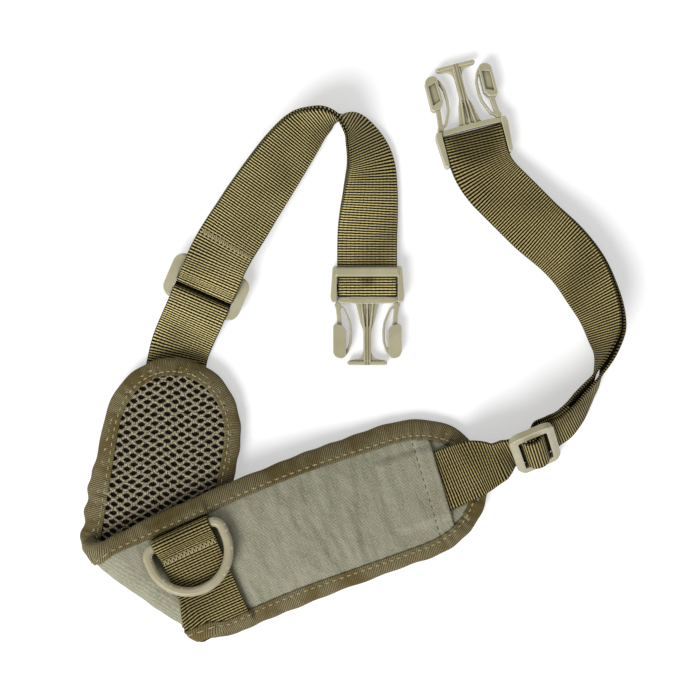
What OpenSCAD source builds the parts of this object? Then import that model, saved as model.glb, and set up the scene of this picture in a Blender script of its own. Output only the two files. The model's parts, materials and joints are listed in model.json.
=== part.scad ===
// Padded harness strap for a pair of binoculars, lying folded on a table.
// A foam pad is folded over on a slant. From each of its ends comes one length of webbing,
// which threads a tri-glide, goes round the bar of a side-release buckle and comes back to be
// sewn round the tri-glide's centre bar. A D-ring hangs in a doubled strip across the pad.
// +Z is up from the table, and the origin is under the middle of the whole outline.

/* [Pad] */
// Length of the pad before it is folded
pad_length = 258; // [240:2:270]
// Width across the pad, over its binding
pad_width = 60; // [54:1:66]
// Length of the rounded nose at each end
pad_nose = 38; // [30:1:44]
// Radius of the pad's own curve, seen flat
pad_curve_radius = 750; // [600:10:2000]
// Thickness of the foam
foam_thickness = 5; // [4:0.5:6]
// Thickness of the spacer mesh that lies on the wearer
lining_thickness = 1.6; // [1:0.2:2.4]
// Thickness of the woven face fabric
fabric_thickness = 0.8; // [0.5:0.1:1]
// Thickness left where the layers are pinched together at the edge
pinched_edge = 2.8; // [2.4:0.2:3.2]
// Width of the band over which the pad thins to that edge
edge_roll = 16; // [10:1:20]

/* [Binding and hems] */
// Width of the binding tape on each face
binding_width = 6.6; // [5:0.2:8]
// Thickness of the binding tape
binding_thickness = 0.9; // [0.6:0.1:1.2]
// Distance from each end of the pad to the open hem of the outer panel
hem_inset = 20; // [18:1:26]

/* [Fold] */
// Direction of the crease, counted from +X
fold_angle = 145.5; // [142:0.5:149]
// Radius of the fold at the middle of the pad's thickness
fold_radius = 5.5; // [5:0.1:6.5]
// Distance along the pad from its middle to where the fold starts
fold_start = 16.5; // [12:0.5:22]
// Distance from the crease at which the upper wing starts to come down
wing_fall_start = 35; // [30:1:38]
// Length over which the upper wing comes down to the table
wing_fall_length = 90; // [85:1:100]

/* [Webbing] */
// Width of the webbing
webbing_width = 25; // [20:0.5:25.6]
// Thickness of the webbing
webbing_thickness = 1.3; // [1:0.1:1.4]
// Length of webbing that is sewn into each end of the pad
webbing_tail = 22; // [16:1:30]
// Length of the sewn end behind each tri-glide
sewn_end = 23; // [20:0.5:26]

/* [D-ring] */
// Width over the ring
ring_width = 38; // [36:0.5:40]
// Depth from the bar's axis to the middle of the ring's bow
ring_depth = 24; // [22:0.5:26]
// Thickness of the ring's section
ring_section = 4; // [3.6:0.1:4.4]
// Diameter of the ring's straight bar
ring_bar_d = 3.6; // [3:0.1:4]
// Place of the bar across the pad, from the pad's middle line
ring_bar_offset = 18; // [16:0.5:19]
// Lift of the ring's bow where it lies on the doubled strip
ring_rest_tilt = 6; // [5:0.5:9]

/* [Tri-glide] */
// Width over the tri-glide
slider_width = 35; // [34:0.5:38]
// Length of the tri-glide along the webbing
slider_length = 20; // [19:0.5:22]
// Thickness of the tri-glide's frame
slider_thickness = 3; // [2.6:0.1:3.2]
// Width of each outer bar
slider_bar = 3.6; // [3:0.1:4]
// Diameter of the centre bar
slider_pin_d = 2.4; // [2:0.1:2.5]

/* [Buckle] */
// Width of the buckle's frame
buckle_width = 31.8; // [31:0.2:34]
// How far each latch head stands in from the frame's side
latch_inset = 1.1; // [0.4:0.1:1.4]
// Length from the middle bar to the end of the guide
guide_length = 33.5; // [31:0.5:36]
// Length of a latch head
head_length = 15; // [13:0.5:16]
// Width of a latch head
head_width = 5.7; // [5:0.1:6]
// Thickness of a latch head
head_thickness = 6.4; // [5.6:0.2:6.6]
// Width of the cross piece at the end of the guide
tee_width = 17.4; // [15:0.2:18]
// Diameter of the bar that the webbing turns round
buckle_bar_d = 3.2; // [2.8:0.1:3.6]

/* [Hidden] */

$fn = 32;

// Clearances
layer_gap = 0.1;        // between two layers of cloth
running_gap = 0.3;      // between soft pieces and what moves
bar_gap = 0.35;         // between a bar and the webbing round it
knuckle_gap = 0.06;     // radial, between a latch's root and its seat

// Where the assembly lies: the pad's middle, and what moves the origin under the outline
pad_middle = [-63.5, -95];
pad_heading = 24.5;
outline_middle = [0.1, -0.8];

// Pad, worked out
half_length = pad_length / 2;
half_width = pad_width / 2;
stack_thickness = lining_thickness + foam_thickness + fabric_thickness;
stack_half = stack_thickness / 2;
channel_half = stack_half - 0.7;
binding_half = channel_half + binding_thickness;
stack_inset = binding_thickness + running_gap;
tail_middle = stack_half + 3 * layer_gap + webbing_thickness / 2;
panel_over_tail = tail_middle + webbing_thickness / 2 + 3 * layer_gap;
under_wing_z = panel_over_tail + fabric_thickness;
upper_wing_z = under_wing_z + 2 * fold_radius;
wing_fall = upper_wing_z - binding_half;
hem_position = half_length - hem_inset;
tail_start = hem_position - webbing_tail;
nose_power = 2.4;

function unit(v) = v / norm(v);
function clamp(x, low, high) = min(max(x, low), high);
function heading(a) = [cos(a), sin(a)];
function smooth(x) = let (q = clamp(x, 0, 1)) q * q * (3 - 2 * q);

fold_dir = heading(fold_angle);
fold_normal = [fold_dir.y, -fold_dir.x];
fold_point = pad_middle - fold_start * heading(pad_heading);

// ---------- Pad surface ----------

// Half the width of an outline of half length l and half width h, at distance s along it
function nose_width(s, l, h) =
    let (q = clamp((abs(s) - (l - pad_nose)) / pad_nose, 0, 1))
    h * sqrt(max(1 - pow(q, nose_power), 0));

// Flat place of a point s along the curved middle line and t across it
function pad_flat(s, t) =
    let (bend = s / pad_curve_radius * 180 / PI)
    pad_middle + s * heading(pad_heading - bend / 2) + t * heading(pad_heading - bend + 90);

// Folds a flat point at height w from the middle surface over the crease
function pad_fold(p, w) =
    let (
        a = (p - fold_point) * fold_normal,
        b = (p - fold_point) * fold_dir,
        turn = clamp(-a / fold_radius * 180 / PI, 0, 180),
        rest = max(-a - PI * fold_radius, 0),
        fall = wing_fall * smooth((a - wing_fall_start) / wing_fall_length),
        across = a >= 0 ? a : rest - (fold_radius + w) * sin(turn),
        z = a >= 0 ? upper_wing_z - fall + w
            : under_wing_z + fold_radius + (fold_radius + w) * cos(turn)
    )
    [fold_point.x + across * fold_normal.x + b * fold_dir.x,
     fold_point.y + across * fold_normal.y + b * fold_dir.y, z];

function pad_point(s, t, w) = pad_fold(pad_flat(s, t), w);

// How much the stack is pinched at a place: 1 inside, less towards the edge
function pinch(s, t) =
    let (
        slope = nose_width(s + 0.5, half_length, half_width)
            - nose_width(s - 0.5, half_length, half_width),
        side = (nose_width(s, half_length, half_width) - abs(t)) / sqrt(1 + slope * slope),
        edge = clamp(min(side, half_length - abs(s)) / edge_roll, 0, 1),
        low = pinched_edge / stack_thickness
    )
    low + (1 - low) * sin(90 * edge);

// Stations along the pad: two noses, two wings and a close-set fold
stack_half_length = half_length - stack_inset;
fold_end = fold_start + PI * fold_radius / cos(pad_heading + 90 - fold_angle);
nose_start = stack_half_length - pad_nose;
nose_steps = [for (a = [36:12:84]) nose_start + pad_nose * sin(a)];
lift_start = tail_start - 5;
tail_steps = [lift_start, tail_start, (tail_start + hem_position) / 2, hem_position];
front_start = 3 - fold_start;
back_start = fold_end + 3;
pad_stations = concat(
    [for (i = [len(nose_steps) - 1:-1:0]) -nose_steps[i]],
    [for (i = [3:-1:0]) -tail_steps[i]],
    [for (i = [1, 2]) -(lift_start + (back_start - lift_start) * i / 2)],
    [for (i = [0:9]) -(fold_end + (fold_start - fold_end) * i / 9)],
    [for (i = [0:4]) front_start + (lift_start - front_start) * i / 5],
    tail_steps,
    nose_steps);

// The lines across the pad slant with the crease near it, and stand square elsewhere
crease_slant = 1 / tan(fold_angle - pad_heading - 2);
function slant(s) = crease_slant
    * (s < -fold_end ? 1 - smooth((-s - fold_end) / 45) : 1 - smooth((s + fold_start) / 50));

// One row of points across a layer, at a share of the pinched stack's height
across_shares = [-1, -0.86, -0.6, 0, 0.6, 0.86, 1];
function pad_row(s, w) =
    let (wide = nose_width(s, stack_half_length, half_width - stack_inset))
    [for (k = across_shares) let (t = k * wide, x = s + slant(s) * t) pad_point(x, t, w * pinch(x, t))];

// A closed sheet between two grids of points of the same size
module slab(low, high) {
    rows = len(low);
    cols = len(low[0]);
    size = rows * cols;
    function at(i, j, top) = i * cols + j + (top ? size : 0);
    function two(a, b, c, d) = [[a, b, c], [a, c, d]];
    faces = concat(
        [for (i = [0:rows - 2], j = [0:cols - 2])
            each two(at(i, j, true), at(i, j + 1, true), at(i + 1, j + 1, true), at(i + 1, j, true))],
        [for (i = [0:rows - 2], j = [0:cols - 2])
            each two(at(i, j, false), at(i + 1, j, false), at(i + 1, j + 1, false), at(i, j + 1, false))],
        [for (i = [0:rows - 2])
            each two(at(i, 0, false), at(i, 0, true), at(i + 1, 0, true), at(i + 1, 0, false))],
        [for (i = [0:rows - 2])
            each two(at(i, cols - 1, false), at(i + 1, cols - 1, false),
                at(i + 1, cols - 1, true), at(i, cols - 1, true))],
        [for (j = [0:cols - 2])
            each two(at(0, j, false), at(0, j + 1, false), at(0, j + 1, true), at(0, j, true))],
        [for (j = [0:cols - 2])
            each two(at(rows - 1, j, false), at(rows - 1, j, true),
                at(rows - 1, j + 1, true), at(rows - 1, j + 1, false))]);
    polyhedron(points = concat([for (r = low) each r], [for (r = high) each r]), faces = faces);
}

module pad_layer(low, high) {
    slab([for (s = pad_stations) pad_row(s, low)], [for (s = pad_stations) pad_row(s, high)]);
}

module mesh_lining() color("#6b6455") pad_layer(-stack_half, lining_thickness - stack_half);

module foam_core() color("#d8d4c4")
    pad_layer(lining_thickness - stack_half, stack_half - fabric_thickness);

module base_panel() color("#8f9484") pad_layer(stack_half - fabric_thickness, stack_half);

// The outer panel lies on the base panel between its two hems, and rises over each webbing tail
panel_inset = binding_width + running_gap;
panel_half = half_width - panel_inset;
panel_stations = [for (s = pad_stations) if (abs(s) < hem_position + 0.01) s];
panel_shares = [-1, -0.75, -0.6, 0, 0.6, 0.75, 1];
function panel_wide(s) =
    let (slope = nose_width(s + 0.5, half_length, half_width)
            - nose_width(s - 0.5, half_length, half_width))
    nose_width(s, half_length, half_width) - panel_inset * sqrt(1 + slope * slope);
function panel_low(x, t) =
    let (rest = stack_half * pinch(x, t) + 2 * layer_gap)
    abs(x) > tail_start - 1 && abs(t) < webbing_width / 2 + 1.5 ? max(rest, panel_over_tail) : rest;
function panel_row(s, extra) =
    [for (k = panel_shares)
        let (t = k * panel_wide(s), x = s + slant(s) * t)
        pad_point(x, t, panel_low(x, t) + extra)];

module outer_panel() color("#9aa08c")
    slab([for (s = panel_stations) panel_row(s, 0)],
        [for (s = panel_stations) panel_row(s, fabric_thickness)]);

// ---------- Binding ----------

// A point of the pad's outline at s, inset by d
function outline_point(s, side, d) =
    let (
        h = nose_width(s, half_length, half_width),
        slope = nose_width(s + 0.05, half_length, half_width)
            - nose_width(s - 0.05, half_length, half_width),
        n = unit([-slope / 0.1, 1])
    )
    [s - d * n.x, side * (h - d * n.y)];
edge_stations = concat(
    [for (a = [90:-10:10]) -(half_length - pad_nose + pad_nose * sin(a) * 0.998)],
    [for (i = [0:3]) -(half_length - pad_nose) + (half_length - pad_nose - 62) * i / 3],
    [for (s = [-59:3:2]) s],
    [for (s = [8:14:half_length - pad_nose - 4]) s],
    [for (a = [0:10:90]) half_length - pad_nose + pad_nose * sin(a) * 0.998]);
edge_loop = concat(
    [for (i = [0:len(edge_stations) - 1]) [edge_stations[i], 1]],
    [for (i = [len(edge_stations) - 1:-1:0]) [edge_stations[i], -1]]);

// A section of the tape folded round the edge: [distance in from the edge, height]
tape_section = [[binding_width, binding_half], [0.8, binding_half], [0, binding_half - 0.8],
    [0, 0.8 - binding_half], [0.8, -binding_half], [binding_width, -binding_half],
    [binding_width, -channel_half], [binding_thickness, -channel_half],
    [binding_thickness, channel_half], [binding_width, channel_half]];

function tape_ring(s, side) =
    [for (p = tape_section) let (q = outline_point(s, side, p[0])) pad_point(q[0], q[1], p[1])];

module edge_binding() color("#5d5638") {
    rings = [for (e = edge_loop) tape_ring(e[0], e[1])];
    n = len(rings);
    m = len(tape_section);
    faces = [for (i = [0:n - 1], j = [0:m - 1])
        let (a = i * m + j, b = i * m + (j + 1) % m,
            c = ((i + 1) % n) * m + (j + 1) % m, d = ((i + 1) % n) * m + j)
        each [[a, b, c], [a, c, d]]];
    polyhedron(points = [for (r = rings) each r], faces = faces);
}

// ---------- Webbing ----------

// A smooth curve through a list of vectors, n steps between each two
function curve_point(a, b, c, d, t) =
    0.5 * (2 * b + (c - a) * t + (2 * a - 5 * b + 4 * c - d) * t * t
        + (3 * b - a - 3 * c + d) * t * t * t);
function smooth_curve(v, n) =
    let (m = len(v), q = concat([2 * v[0] - v[1]], v, [2 * v[m - 1] - v[m - 2]]))
    concat([for (i = [1:m - 1], k = [0:n - 1])
        curve_point(q[i - 1], q[i], q[i + 1], q[i + 2], k / n)], [v[m - 1]]);

function place(v) = [v[0], v[1], v[2]];

// A station of a strap: its middle, the direction across it and its tilt
function station(r) = [r[0], r[1], r[2], cos(r[3]) * cos(r[4]), sin(r[3]) * cos(r[4]), sin(r[4])];

// A station on the pad: s along it and t across it, as for every point of the pad
function tail_station(s, t = 0) =
    let (
        w = tail_middle + (abs(s) > half_length - 14 ? 0.5 : 0),
        p = pad_point(s, t, w),
        across = unit(pad_point(s, t - 1, w) - pad_point(s, t + 1, w))
    )
    concat(p, across);

// The strap's middle line as look-up tables along its own length
function spine(stations) =
    let (
        v = smooth_curve(stations, 6),
        run = [for (i = 0, sum = 0; i < len(v);
            sum = sum + (i + 1 < len(v) ? norm(place(v[i + 1]) - place(v[i])) : 0), i = i + 1) sum]
    )
    [for (k = [0:5]) [for (i = [0:len(v) - 1]) [run[i], v[i][k]]]];
function spine_length(sp) = sp[0][len(sp[0]) - 1][0];
function spine_place(sp, s) = [for (k = [0:2]) lookup(s, sp[k])];
function spine_along(sp, s) = unit(spine_place(sp, s + 0.5) - spine_place(sp, s - 0.5));
function spine_up(sp, s) = unit(cross([for (k = [3:5]) lookup(s, sp[k])], spine_along(sp, s)));
function spine_across(sp, s) = cross(spine_along(sp, s), spine_up(sp, s));

// The length along a spine at which it passes closest to a point
function length_at(sp, p) =
    let (d = [for (r = [0:len(sp[0]) - 1])
            norm([sp[0][r][1], sp[1][r][1], sp[2][r][1]] - p)],
        best = [for (r = [0:len(d) - 1]) if (d[r] == min(d)) r][0])
    sp[0][best][0];

// A closed strip between two lists of pairs of points. Each face gets a middle point, so that
// strips lying on each other keep their distance where they twist.
module strip(low, high) {
    rows = len(low);
    function at(i, j, top) = 2 * i + j + (top ? 2 * rows : 0);
    function heart(i, top) = 4 * rows + i + (top ? rows - 1 : 0);
    function middle(g, i) = (g[i][0] + g[i][1] + g[i + 1][0] + g[i + 1][1]) / 4;
    function fan(q, c) = [for (k = [0:3]) [q[k], q[(k + 1) % 4], c]];
    function four(a, b, c, d) = [[a, b, c], [a, c, d]];
    faces = concat(
        [for (i = [0:rows - 2]) each
            fan([at(i, 0, true), at(i, 1, true), at(i + 1, 1, true), at(i + 1, 0, true)], heart(i, true))],
        [for (i = [0:rows - 2]) each
            fan([at(i, 0, false), at(i + 1, 0, false), at(i + 1, 1, false), at(i, 1, false)],
                heart(i, false))],
        [for (i = [0:rows - 2]) each
            four(at(i, 0, false), at(i, 0, true), at(i + 1, 0, true), at(i + 1, 0, false))],
        [for (i = [0:rows - 2]) each
            four(at(i, 1, false), at(i + 1, 1, false), at(i + 1, 1, true), at(i, 1, true))],
        four(at(0, 0, false), at(0, 1, false), at(0, 1, true), at(0, 0, true)),
        four(at(rows - 1, 0, false), at(rows - 1, 0, true), at(rows - 1, 1, true), at(rows - 1, 1, false)));
    polyhedron(points = concat([for (r = low) each r], [for (r = high) each r],
        [for (i = [0:rows - 2]) middle(low, i)], [for (i = [0:rows - 2]) middle(high, i)]),
        faces = faces);
}

// A ribbon along a list of [length along the spine, lift from it]
module ribbon(sp, path, side, wide, thick) {
    last = len(path) - 1;
    function row(i, rise) =
        let (
            s = path[i][0],
            lift = side * path[i][1],
            before = path[max(i - 1, 0)],
            after = path[min(i + 1, last)],
            step = unit([after[0] - before[0], side * (after[1] - before[1])]),
            out = spine_up(sp, s) * step[0] - spine_along(sp, s) * step[1],
            middle = spine_place(sp, s) + lift * spine_up(sp, s) + rise * out,
            across = spine_across(sp, s) * wide / 2
        )
        [middle + across, middle - across];
    strip([for (i = [0:last]) row(i, -thick / 2)], [for (i = [0:last]) row(i, thick / 2)]);
}

// Layers of webbing lie this far apart, middle to middle
pitch = webbing_thickness + layer_gap;
turn_radius = buckle_bar_d / 2 + bar_gap + webbing_thickness / 2;
sewn_radius = slider_pin_d / 2 + 0.2 + webbing_thickness / 2;
over_radius = sewn_radius + pitch;
under_bar = slider_thickness / 2 + bar_gap + webbing_thickness / 2;
under_step = pitch + 0.1;
half_gap = pitch / 2 + 0.05;
flex_length = 26;

// Through the tri-glide: under one outer bar, over the centre bar, under the other
dive = [[3.75, -0.6], [4.4, -1.75], [5.4, 0.1 - under_bar], [6.8, -under_bar - 0.05],
    [9, -under_bar], [12, -under_bar]];
thread_path = concat(
    [for (i = [len(dive) - 1:-1:0]) [-dive[i][0], dive[i][1]]],
    [for (a = [165:-15:15]) over_radius * heading(a)],
    dive);

// The sewn end: in below, round the centre bar, and back between the two runs
sewn_middle = -under_bar - under_step;
sewn_low = sewn_middle - under_step;
sewn_path = concat(
    [[12, sewn_low], [9, sewn_low], [6, sewn_low - 0.05], [3.8, sewn_low], [2.2, -4.3], [1.3, -2.75]],
    [for (a = [0:20:180]) [-sewn_radius * sin(a), -sewn_radius * cos(a)]],
    [[1.25, 1.55], [1.95, 0.2], [2.3, -1.2], [3.2, -2.95], [4.7, sewn_middle + 0.1],
        [6.8, sewn_middle], [9, sewn_middle], [12, sewn_middle]]);

function shifted(path, s) = [for (p = path) [p[0] + s, p[1]]];
function even_steps(a, b, n) = [for (i = [1:n]) a + (b - a) * i / (n + 1)];

// Distance between the outgoing and the returning run at u past the tri-glide
function run_gap(u, side) =
    lookup(u, side > 0 ? [[20, 2 * under_step], [34, 4.2], [52, 3.4], [80, 2.2], [125, 2 * half_gap]]
        : [[20, 2 * under_step], [46, 2 * half_gap]]);

// Lift of the outgoing and the returning run at u past the tri-glide
function out_lift(u, side) = lookup(u, [[12, -under_bar], [40, run_gap(40, side) / 2],
    [60, run_gap(60, side) / 2], [80, run_gap(80, side) / 2], [125, half_gap]]);
function back_lift(u, side) = out_lift(u, side) - run_gap(u, side);

// Near the buckle both runs spread to go round its bar
function spread(v) = lookup(v, [[-22, half_gap], [-15, 1.1], [-4, turn_radius - 0.1],
    [0, turn_radius]]);

module strap_webbing(sp, s_slider, s_bar, side) {
    run_end = s_bar - flex_length - s_slider;
    near_steps = [14, 16, 18, sewn_end, 26, 30, 35, 40];
    steps = concat(near_steps, even_steps(40, run_end, 20), [run_end]);
    out = concat(
        [for (s = [0:7:s_slider - 16]) [s, 0]],
        shifted(thread_path, s_slider),
        [for (u = steps) [s_slider + u, out_lift(u, side)]]);
    back = concat(
        [for (i = [len(steps) - 1:-1:0]) [s_slider + steps[i], back_lift(steps[i], side)]],
        shifted(sewn_path, s_slider),
        [for (u = [14, 16, 18, sewn_end]) [s_slider + u, out_lift(u, side) - run_gap(u, side) / 2]]);
    ribbon(sp, out, side, webbing_width, webbing_thickness);
    ribbon(sp, back, side, webbing_width, webbing_thickness);
}

// The last stretch, which flexes as the buckle swings, and its turn round the buckle's bar
module strap_turn(sp, s_bar, side) {
    steps = [-flex_length, -22, -18, -15, -11, -7.5, -4];
    path = concat(
        [for (v = steps) [s_bar + v, spread(v)]],
        [for (a = [0:22.5:180]) [s_bar + turn_radius * sin(a), turn_radius * cos(a)]],
        [for (i = [len(steps) - 1:-1:0]) [s_bar + steps[i], -spread(steps[i])]]);
    ribbon(sp, path, side, webbing_width, webbing_thickness);
}

// A row of stitches across the returning run, where the sewn end stops
module strap_bartack(sp, s_slider, side) {
    steps = [sewn_end - 3.5, sewn_end - 1.7];
    under = webbing_thickness / 2 + 0.45;
    ribbon(sp, [for (u = steps) [s_slider + u, back_lift(u, side) - under]], side,
        webbing_width - 2, 0.4);
}

// Routes of the two straps, chosen by hand: [x, y, z, direction across, tilt]
left_slider_place = [-62.3, 26.3, 7.6];
left_bar_place = [7, 26, 3.8];
left_route = [[-75.4, -5, 1.1, -13, 0], [-74, 0.5, 1.7, -15, 0], [-71.4, 6.5, 3.6, -20, -3],
    [-68, 13.5, 5.9, -24, -6], [-65.15, 19.9, 6.75, -24, -6], [-62.3, 26.3, 7.6, -24, -6],
    [-59.45, 32.7, 8.45, -24, -6], [-56.6, 39.1, 9.3, -24, -6],
    [-52.2, 47, 9.9, -27, -10], [-45, 58, 10.2, -30, -18], [-36, 71.5, 10.5, -31, -27],
    [-27, 84.5, 11, -28, -38], [-19, 94, 12, -22, -50], [-11.5, 98.2, 13.5, -14, -64],
    [-6, 98.8, 14, 6, -71], [-1.5, 97.2, 14, 30, -68], [3, 92.8, 13, 36, -59],
    [6.5, 86, 12, 26, -48], [8.5, 77, 10, 18, -35], [8.3, 66, 8, 11, -24], [7.5, 56, 6, 5, -12],
    [7, 46, 4.5, 0, -2], [7, 26, 3.8, 0, 0], [7, 12, 3.8, 0, 0]];
right_slider_place = [78.1, -42.6, 17.5];
right_bar_place = [53, 90, 5.8];
right_route = [[46.5, -53.9, 11, -74, -4], [50.5, -52.2, 12.2, -73, -12], [54.2, -50.6, 13.3, -72, -20],
    [58.3, -49.4, 14.6, -71, -32], [63.3, -48.3, 16, -69, -47],
    [68.9, -46.5, 17.1, -67, -60], [73.5, -44.55, 17.3, -67, -60], [78.1, -42.6, 17.5, -67, -60],
    [81.8, -41, 17.65, -67, -60], [85.5, -39.5, 17.8, -67, -60], [89.4, -37.3, 17.8, -58, -61],
    [92.8, -34.4, 17.6, -48, -63], [95.6, -30.8, 17.1, -40, -66], [98, -27, 16.5, -36, -69],
    [101.5, -19.5, 15.4, -34, -75], [105, -12, 14.7, -34, -81], [108.5, -2, 14.5, 172, -84],
    [109, 6, 13.5, 182, -66], [107, 15, 12.5, 186, -54], [103, 24, 11.5, 190, -43],
    [97.5, 34, 10, 197, -34], [90, 43, 9, 205, -26], [80, 52, 8, 215, -16], [72.7, 59.3, 7.5, 217, -10],
    [66.4, 65.7, 7, 217, -6], [61.4, 70.9, 6.5, 214, -2], [57.4, 76.7, 6.1, 207, 0],
    [54.8, 83.2, 5.9, 195, 0], [53, 90, 5.8, 195, 0], [51.5, 95.8, 5.7, 195, 0],
    [50, 101.4, 5.6, 195, 0]];

// The left tail drifts across the pad as it nears the end
left_tail = [[-tail_start, 0], [-98, 0], [-109, 1.6], [-120, 4.4]];
left_spine = spine(concat([for (q = left_tail) tail_station(q[0], q[1])],
    [for (r = left_route) station(r)]));
right_spine = spine(concat([for (s = [tail_start, 98, 109]) tail_station(s)],
    [for (r = right_route) station(r)]));
left_slider_s = length_at(left_spine, left_slider_place);
left_bar_s = length_at(left_spine, left_bar_place);
right_slider_s = length_at(right_spine, right_slider_place);
right_bar_s = length_at(right_spine, right_bar_place);

// Lays children on a strap: y along it, z towards its front
module on_strap(sp, s, side) {
    p = spine_place(sp, s);
    y = spine_along(sp, s);
    z = side * spine_up(sp, s);
    x = cross(y, z);
    multmatrix([[x[0], y[0], z[0], p[0]], [x[1], y[1], z[1], p[1]], [x[2], y[2], z[2], p[2]]])
        children();
}

// ---------- Doubled strip and D-ring ----------

strip_low = stack_half + fabric_thickness + 4 * layer_gap + webbing_thickness / 2;
ring_turn = ring_bar_d / 2 + bar_gap + webbing_thickness / 2;
ring_bar_w = strip_low + ring_turn;
strip_end = panel_half;

// The doubled strip's section: [t across the pad, height above the pad's middle surface]
strip_path = concat(
    [for (t = [-strip_end, -18, -12, -6, 0, 6, 12]) [t, strip_low + (t < -10 ? 0.3 : 0)]],
    [for (a = [0:22.5:180]) [ring_bar_offset + ring_turn * sin(a), ring_bar_w - ring_turn * cos(a)]],
    [[ring_bar_offset - 2.5, ring_bar_w + ring_turn - 0.9], [ring_bar_offset - 4.2, strip_low + pitch + 1.3],
        [ring_bar_offset - 6.2, strip_low + pitch + 0.1]],
    [for (t = [5, 0, -6, -12, -18, -strip_end]) [t, strip_low + pitch + (t < -10 ? 0.3 : 0)]]);

module cross_webbing() {
    last = len(strip_path) - 1;
    function row(i, rise) =
        let (
            step = unit(strip_path[min(i + 1, last)] - strip_path[max(i - 1, 0)]),
            t = strip_path[i][0] - rise * step[1],
            w = strip_path[i][1] + rise * step[0]
        )
        [for (k = [1, 0.6, 0.2, -0.2, -0.6, -1]) pad_point(k * webbing_width / 2, t, w)];
    color("#5f5836") slab([for (i = [0:last]) row(i, -webbing_thickness / 2)],
        [for (i = [0:last]) row(i, webbing_thickness / 2)]);
}

module ring_bartack() color("#6d6440") {
    t = ring_bar_offset - 7.6;
    w = strip_low + pitch + webbing_thickness / 2 + layer_gap;
    slab([for (x = [-11, -4, 4, 11]) [pad_point(x, t - 0.9, w), pad_point(x, t + 0.9, w)]],
        [for (x = [-11, -4, 4, 11]) [pad_point(x, t - 0.9, w + 0.4), pad_point(x, t + 0.9, w + 0.4)]]);
}

// The ring's section: a square bar with its corners taken off
module ring_profile() {
    h = ring_section / 2;
    c = ring_section * 0.27;
    polygon([[-h, c - h], [c - h, -h], [h - c, -h], [h, c - h], [h, h - c], [h - c, h],
        [c - h, h], [-h, h - c]]);
}

ring_arc = (ring_width - ring_section) / 2;
ring_corner = 4;

module ring_straight(from, to) {
    translate([from[0], from[1], 0])
        rotate([0, 0, atan2(to[1] - from[1], to[0] - from[0]) - 90])
            rotate([-90, 0, 0]) linear_extrude(norm(to - from)) ring_profile();
}

// The D: a round bar along x, two corners, two legs and a bow towards -y
module ring_shape() {
    leg = ring_depth - ring_arc;
    rotate([0, 90, 0]) cylinder(r = ring_bar_d / 2, h = 2 * (ring_arc - ring_corner), center = true);
    for (m = [0, 1]) mirror([m, 0, 0]) {
        translate([ring_arc - ring_corner, -ring_corner, 0])
            rotate_extrude(angle = 90) translate([ring_corner, 0]) ring_profile();
        ring_straight([ring_arc, -ring_corner], [ring_arc, -leg]);
    }
    translate([0, -leg, 0]) rotate([0, 0, 180])
        rotate_extrude(angle = 180, $fn = 48) translate([ring_arc, 0]) ring_profile();
}

ring_place = pad_point(0, ring_bar_offset, ring_bar_w);

module d_ring() color("#a59a7c")
    translate(ring_place) rotate([0, 0, pad_heading]) rotate([-ring_rest_tilt, 0, 0]) ring_shape();

// ---------- Tri-glide ----------

function arc(c, r, a, b, n) = [for (i = [0:n]) c + r * heading(a + (b - a) * i / n)];
function rounded_box(w, l, r) = concat(
    arc([w / 2 - r, l / 2 - r], r, 0, 90, 6), arc([r - w / 2, l / 2 - r], r, 90, 180, 6),
    arc([r - w / 2, r - l / 2], r, 180, 270, 6), arc([w / 2 - r, r - l / 2], r, 270, 360, 6));

slot_width = webbing_width + 1.2;

module slider() {
    window = slider_length - 2 * slider_bar;
    flat = slider_bar - 1.2;
    difference() {
        intersection() {
            translate([0, 0, -slider_thickness / 2]) linear_extrude(slider_thickness)
                polygon(rounded_box(slider_width, slider_length, 5));
            // Eased edges along both outer bars
            rotate([90, 0, 90]) translate([0, 0, -slider_width / 2]) linear_extrude(slider_width)
                polygon([[-slider_length / 2, -0.6], [0.9 - slider_length / 2, -slider_thickness / 2],
                    [slider_length / 2 - 0.9, -slider_thickness / 2], [slider_length / 2, -0.6],
                    [slider_length / 2, 0.4], [slider_length / 2 - flat, slider_thickness / 2],
                    [flat - slider_length / 2, slider_thickness / 2], [-slider_length / 2, 0.4]]);
        }
        translate([0, 0, -slider_thickness]) linear_extrude(2 * slider_thickness)
            polygon(rounded_box(slot_width, window, 1));
    }
    rotate([0, 90, 0]) cylinder(r = slider_pin_d / 2, h = slot_width + 1, center = true);
}

// ---------- Side-release buckle, the pronged half ----------

outer_bar_y = -6.9;
outer_bar_w = 4.4;
outer_bar_low = turn_radius + webbing_thickness / 2 + 0.05;
outer_bar_high = outer_bar_low + 2.3;
side_wall = (buckle_width - slot_width) / 2;
latch_width = buckle_width - 2 * latch_inset;
crossbar_y = turn_radius + webbing_thickness / 2 + 2;
crossbar_w = 2.4;
crossbar_half = 2;
frame_low = -turn_radius - webbing_thickness / 2;
root_x = slot_width / 2 - 0.3;
root_y = crossbar_y + crossbar_w / 2 + 1.1;
root_r = 1.4;
head_end = guide_length - 3;
head_start = head_end - head_length;
stem = 3.4;

// A band of constant width along a line of points
function band(line, w) =
    let (
        last = len(line) - 1,
        n = [for (i = [0:last]) let (d = unit(line[min(i + 1, last)] - line[max(i - 1, 0)]))
            [-d[1], d[0]] * w / 2]
    )
    concat([for (i = [0:last]) line[i] + n[i]], [for (i = [last:-1:0]) line[i] - n[i]]);

module upright(half)
    translate([0, 0, -half]) linear_extrude(2 * half) children();

// Half outline of the guide, from the crossbar to its cross piece
guide_side = concat(
    [[5.4, crossbar_y], [4.6, crossbar_y + 3]],
    arc([stem / 2 + 9, 20], 9, 210, 180, 4),
    arc([stem / 2 + 4, guide_length - 6.4], 4, 180, 115, 5),
    [[tee_width / 2 - 0.5, guide_length - 2], [tee_width / 2, guide_length - 1.2],
        [tee_width / 2 - 0.3, guide_length]]);

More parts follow.
